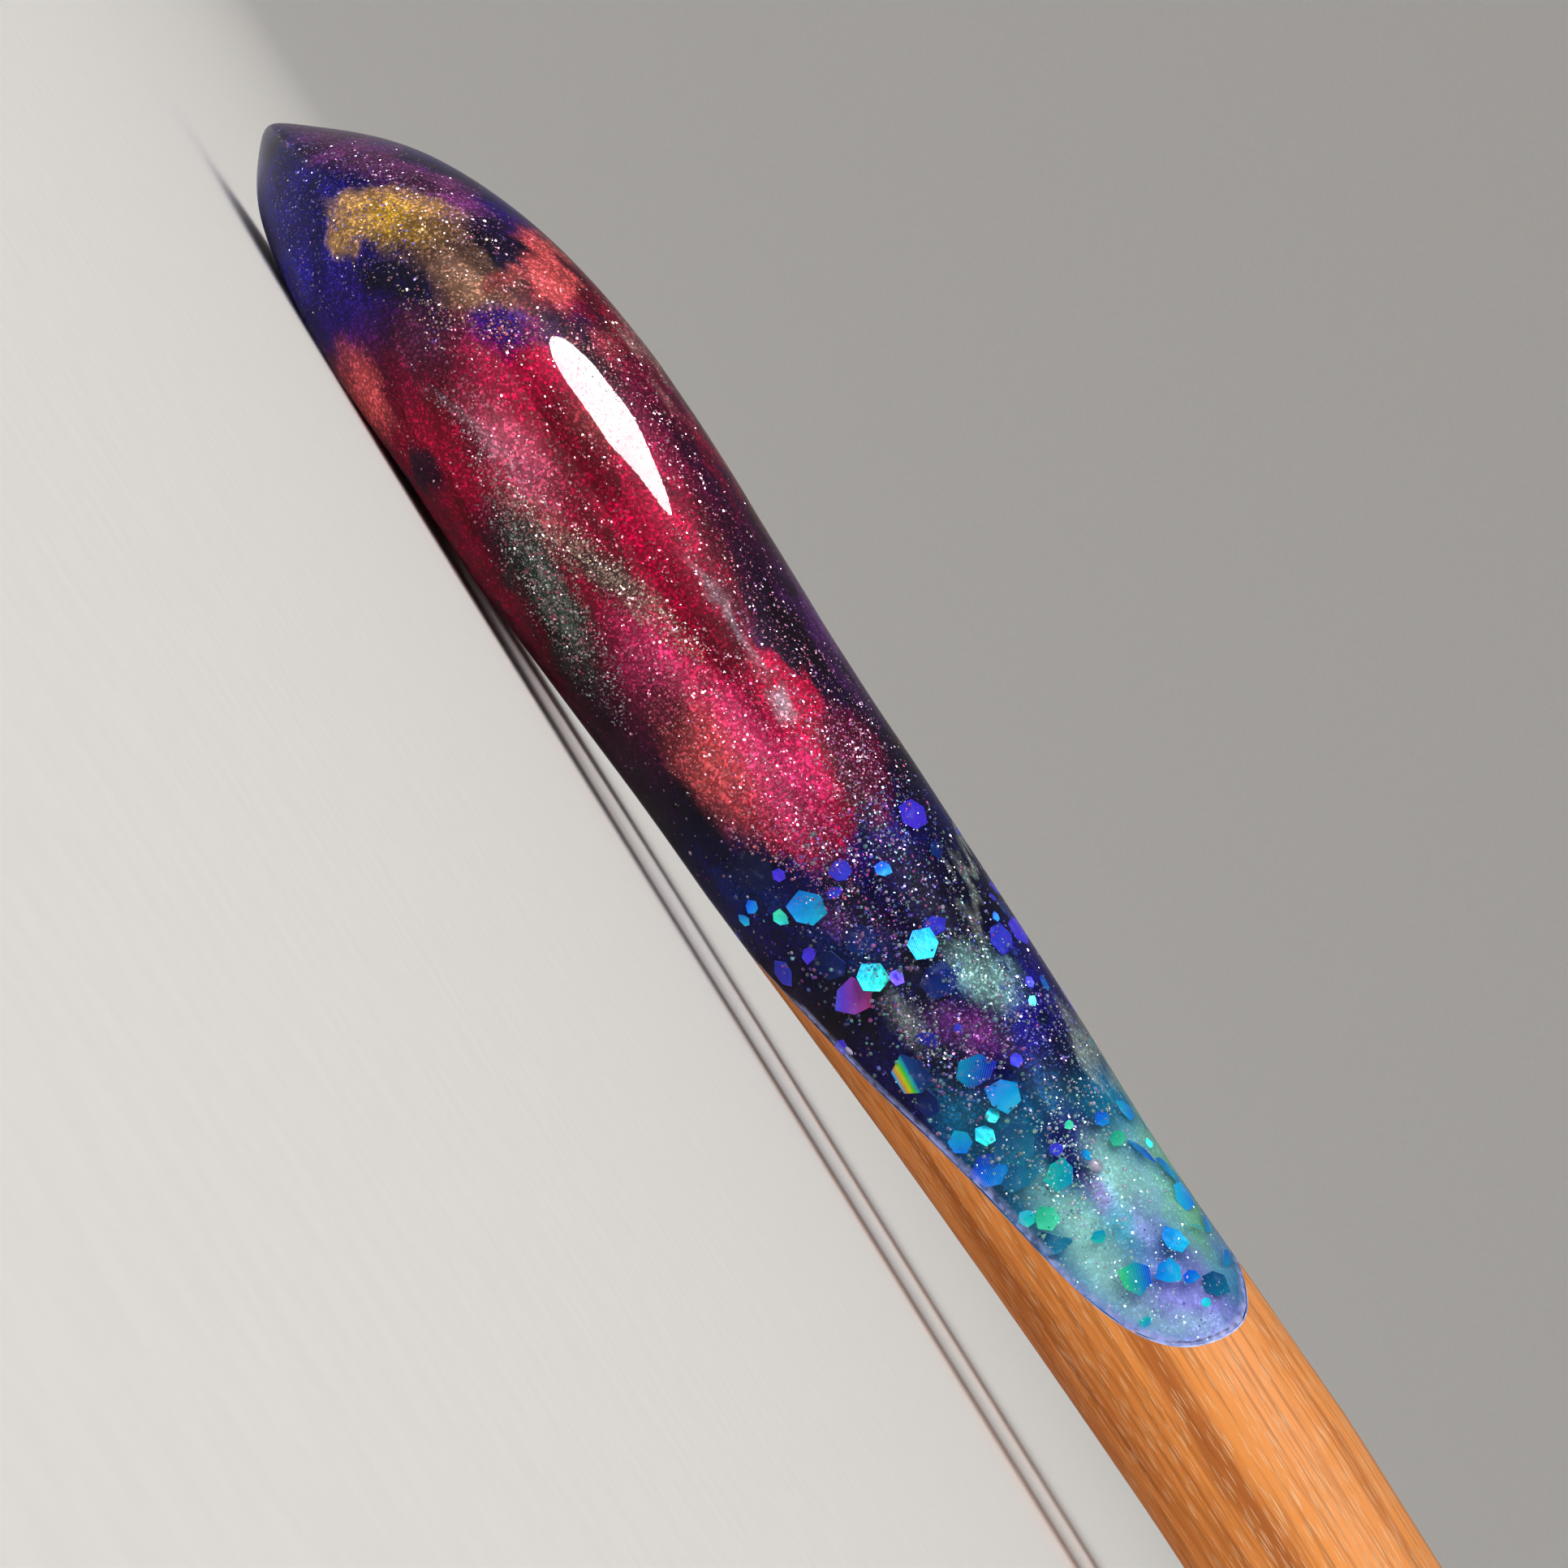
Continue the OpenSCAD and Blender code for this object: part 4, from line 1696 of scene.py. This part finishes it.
@dataclass
class GlueFringe:
    """Pale cloudy line in the resin along the joint, depth millimetres under its surface.

    Raggedness is the range of its width, as a share of width.
    """

    width: float = 0.3
    depth: float = 0.09
    raggedness: Pair = (0.6, 1.3)
    seed: int = 3

    def build(self) -> None:
        """Builds the fringes of both joints as one piece."""
        dice = random.Random(self.seed)
        bm = merged_node("crown")
        bm.normal_update()
        rim = [e for e in bm.edges if not e.smooth]
        ways = {v: self._ways(v, [e for e in rim if v in e.verts]) for e in rim for v in e.verts}
        bmesh.ops.delete(bm, geom=bm.faces, context="FACES_ONLY")
        bmesh.ops.delete(bm, geom=[e for e in bm.edges if e.smooth], context="EDGES")
        start = list(bm.verts)
        for vert in start:
            vert.co -= ways[vert][0] * self.depth * MM
        for vert in fresh_verts(bmesh.ops.extrude_edge_only(bm, edges=list(bm.edges))):
            base = min(start, key=lambda v: (v.co - vert.co).length)
            vert.co += ways[base][1] * self.width * dice.uniform(*self.raggedness) * MM
        nearness = bm.loops.layers.uv.new("nearness")
        smooth_faces(bm)
        for loop in (loop for face in bm.faces for loop in face.loops):
            loop[nearness].uv = (0.0, 1.0 if loop.vert in ways else 0.0)
        resin_piece("glue_fringe", bm, GlueCloud().material())

    @staticmethod
    def _ways(vert: bmesh.types.BMVert, rim: list[bmesh.types.BMEdge]) -> tuple[Vector, Vector]:
        """Finds the directions out of the resin and away from the joint.

        Args:
            vert: A corner of the joint's rim.
            rim: The rim's two edges there.

        Returns:
            Both directions.
        """
        skin = [f for f in vert.link_faces if f.material_index == 0]
        out = sum((f.normal for f in skin), Vector()).normalized()
        away = sum((f.calc_center_median() - vert.co for f in skin), Vector())
        steps = [(e.other_vert(vert).co - vert.co) * way for way, e in zip((1, -1), rim)]
        across = sum(steps, Vector()).normalized().cross(out).normalized()
        return out, across if across.dot(away) > 0 else -across


@dataclass
class GlueSeam:
    """Pale glue that fills the gap between resin and wood at the surface."""

    casting: Casting
    gap: float = 0.05

    def build(self) -> None:
        """Builds the seams of both joints as one piece, from the edge of the smooth skin."""
        bm = bmesh.new()
        bm.from_mesh(self.casting.skin.data)
        bm.normal_update()
        inner, rim = [], set()
        for edge in bm.edges:
            if len({f.material_index for f in edge.link_faces}) < 2:
                inner.append(edge)
            else:
                rim.update(edge.verts)
        outward = []
        for vert in rim:
            skin = [f.normal for f in vert.link_faces if f.material_index == 0]
            outward.append((vert.co.copy(), sum(skin, Vector())))
        bmesh.ops.delete(bm, geom=bm.faces, context="FACES_ONLY")
        bmesh.ops.delete(bm, geom=inner, context="EDGES")
        fresh = fresh_verts(bmesh.ops.extrude_edge_only(bm, edges=list(bm.edges)))
        bmesh.ops.translate(bm, verts=fresh, vec=(self.gap * MM, 0, 0))
        bm.normal_update()
        for face in bm.faces:
            middle = face.calc_center_median()
            _, out = min(outward, key=lambda pair: (pair[0] - middle).length)
            if face.normal.dot(out) < 0:
                face.normal_flip()
        resin_piece("glue_seam", bm, BOND.material())


def standing(at: Vector, right: Vector, up: Vector, back: Vector) -> Matrix:
    """Matrix of a lamp or a camera, from its place and three directions."""
    return Matrix.Translation(at) @ Matrix((right, up, back)).transposed().to_4x4()


@dataclass(frozen=True)
class Lamp:
    """A soft lamp.

    Its place and size are in metres, its power is in watts, and its aim is the place on the fork that it
    faces, in millimetres. It shows as a reflection in polished surfaces only, or else only lights them.
    """

    name: str
    at: Triple
    size: Pair
    power: float
    aim: Triple = (28, -10, 5)
    shows: bool = False

    def build(self) -> None:
        """Adds the lamp, oval where it shows and otherwise rectangular."""
        light = bpy.data.lights.new(self.name, "AREA")
        light.shape = "ELLIPSE" if self.shows else "RECTANGLE"
        light.size, light.size_y = self.size
        light.energy = self.power
        lamp = bpy.data.objects.new(self.name, light)
        at = Vector(self.at)
        back = (at - place(*self.aim)).normalized()
        side = (Vector((1, 0, 0)) - back * back.x).normalized()
        lamp.matrix_world = standing(at, side, back.cross(side), back)
        lamp.visible_glossy = self.shows
        lamp.visible_diffuse = not self.shows
        lamp.visible_transmission = False
        bpy.context.scene.collection.objects.link(lamp)


@dataclass
class Studio:
    """Pale paper sweep, soft lamps and the camera.

    The sweep and the camera's distance are in metres. Aim is the place on the fork in the middle of the
    frame, and frame_width the frame's width there, both in millimetres.
    """

    flat_radius: float = 0.85
    sweep_radius: float = 1.75
    sweep_turn: float = 78.0
    air: tuple[float, float, float, float] = (0.93, 0.95, 1.0, 1.0)
    air_strength: float = 0.25
    camera_distance: float = 0.25
    sensor: float = 36.0
    aim: Triple = (26.36, -13.5, 5.04)
    frame_width: float = 47.45
    roll: float = 58.1
    lamps: tuple[Lamp, ...] = (
        Lamp("overhead_softbox", (0.0, -0.5, 1.8), (1.2, 1.2), 11.0),
        Lamp("front_softbox", (-0.5, -1.4, 0.9), (0.8, 0.8), 17.0),
        Lamp("window", (-0.397, -0.56, 0.95), (0.58, 0.68), 62.0, (15, -16.5, 6.4), True),
    )

    def build(self) -> None:
        """Builds the floor, the lamps, the surrounding light and the camera."""
        self._floor()
        for lamp in self.lamps:
            lamp.build()
        self._camera()
        world = bpy.data.worlds.new("studio_air")
        world.use_nodes = True
        shade = world.node_tree.nodes["Background"]
        shade.inputs[0].default_value = self.air
        shade.inputs[1].default_value = self.air_strength
        bpy.context.scene.world = world
        bpy.context.scene.view_settings.view_transform = "Standard"

    def _floor(self) -> None:
        """Builds the round paper floor that rises in a long sweep."""
        bm = bmesh.new()
        middle = bm.verts.new((0, 0, 0))
        foot = bm.verts.new((self.flat_radius, 0, 0))
        bm.edges.new((middle, foot))
        bmesh.ops.spin(
            bm,
            geom=[foot],
            cent=(self.flat_radius, 0, self.sweep_radius),
            axis=(0, -1, 0),
            angle=math.radians(self.sweep_turn),
            steps=24,
        )
        bmesh.ops.spin(
            bm,
            geom=[*bm.verts, *bm.edges],
            cent=(0, 0, 0),
            axis=(0, 0, 1),
            angle=2 * math.pi,
            steps=96,
            use_merge=True,
        )
        bmesh.ops.remove_doubles(bm, verts=bm.verts, dist=1e-5)
        bmesh.ops.recalc_face_normals(bm, faces=bm.faces)
        smooth_faces(bm)
        if sum(f.normal.z for f in bm.faces) < 0:
            bmesh.ops.reverse_faces(bm, faces=bm.faces)
        floor = new_object("studio_floor", bm, StudioPaper().material())

    def _camera(self) -> None:
        """Adds a level camera beside the near prong, rolled so that the fork runs down to the right."""
        data = bpy.data.cameras.new("camera")
        data.sensor_width = self.sensor
        data.lens = data.sensor_width * self.camera_distance / (self.frame_width * MM)
        data.clip_start = 0.01
        camera = bpy.data.objects.new("camera", data)
        angle = math.radians(self.roll)
        right = Vector((math.cos(angle), 0, math.sin(angle)))
        up = Vector((-math.sin(angle), 0, math.cos(angle)))
        back = Vector((0, -1, 0))
        at = place(*self.aim) + back * self.camera_distance
        camera.matrix_world = standing(at, right, up, back)
        bpy.context.scene.collection.objects.link(camera)
        bpy.context.scene.camera = camera


@dataclass
class Prongs:
    """The two wooden prongs."""

    nodes: tuple[str, str] = ("left_prong", "right_prong")

    def build(self) -> None:
        """Builds a smoothed copy of each prong."""
        wood = Hardwood().material()
        for node in self.nodes:
            bm = merged_node(node)
            for face in bm.faces:
                face.material_index = 0
            bmesh.ops.recalc_face_normals(bm, faces=bm.faces)
            piece = new_object("wooden_" + node, bm, wood)
            soften(piece, 2)
            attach(piece, "root")
            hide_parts(node)


def main() -> None:
    """Builds the studio and the fork, and reports each piece."""
    logging.basicConfig(level=logging.INFO, format="%(name)s: %(message)s")
    Studio().build()
    casting, skin = Casting(), Skin()
    parts = (
        casting,
        FoilFlakes(skin),
        LooseGlitter(skin, casting),
        Beads(skin),
        Bubbles(skin),
        GlueFringe(),
        GlueSeam(casting),
        Prongs(),
    )
    for part in parts:
        part.build()
    for piece in bpy.context.scene.objects:
        if piece.type == "MESH" and piece.name not in frame["nodes"]:
            LOG.info("%s: %d faces", piece.name, len(piece.data.polygons))


if __name__ == "__main__":
    main()
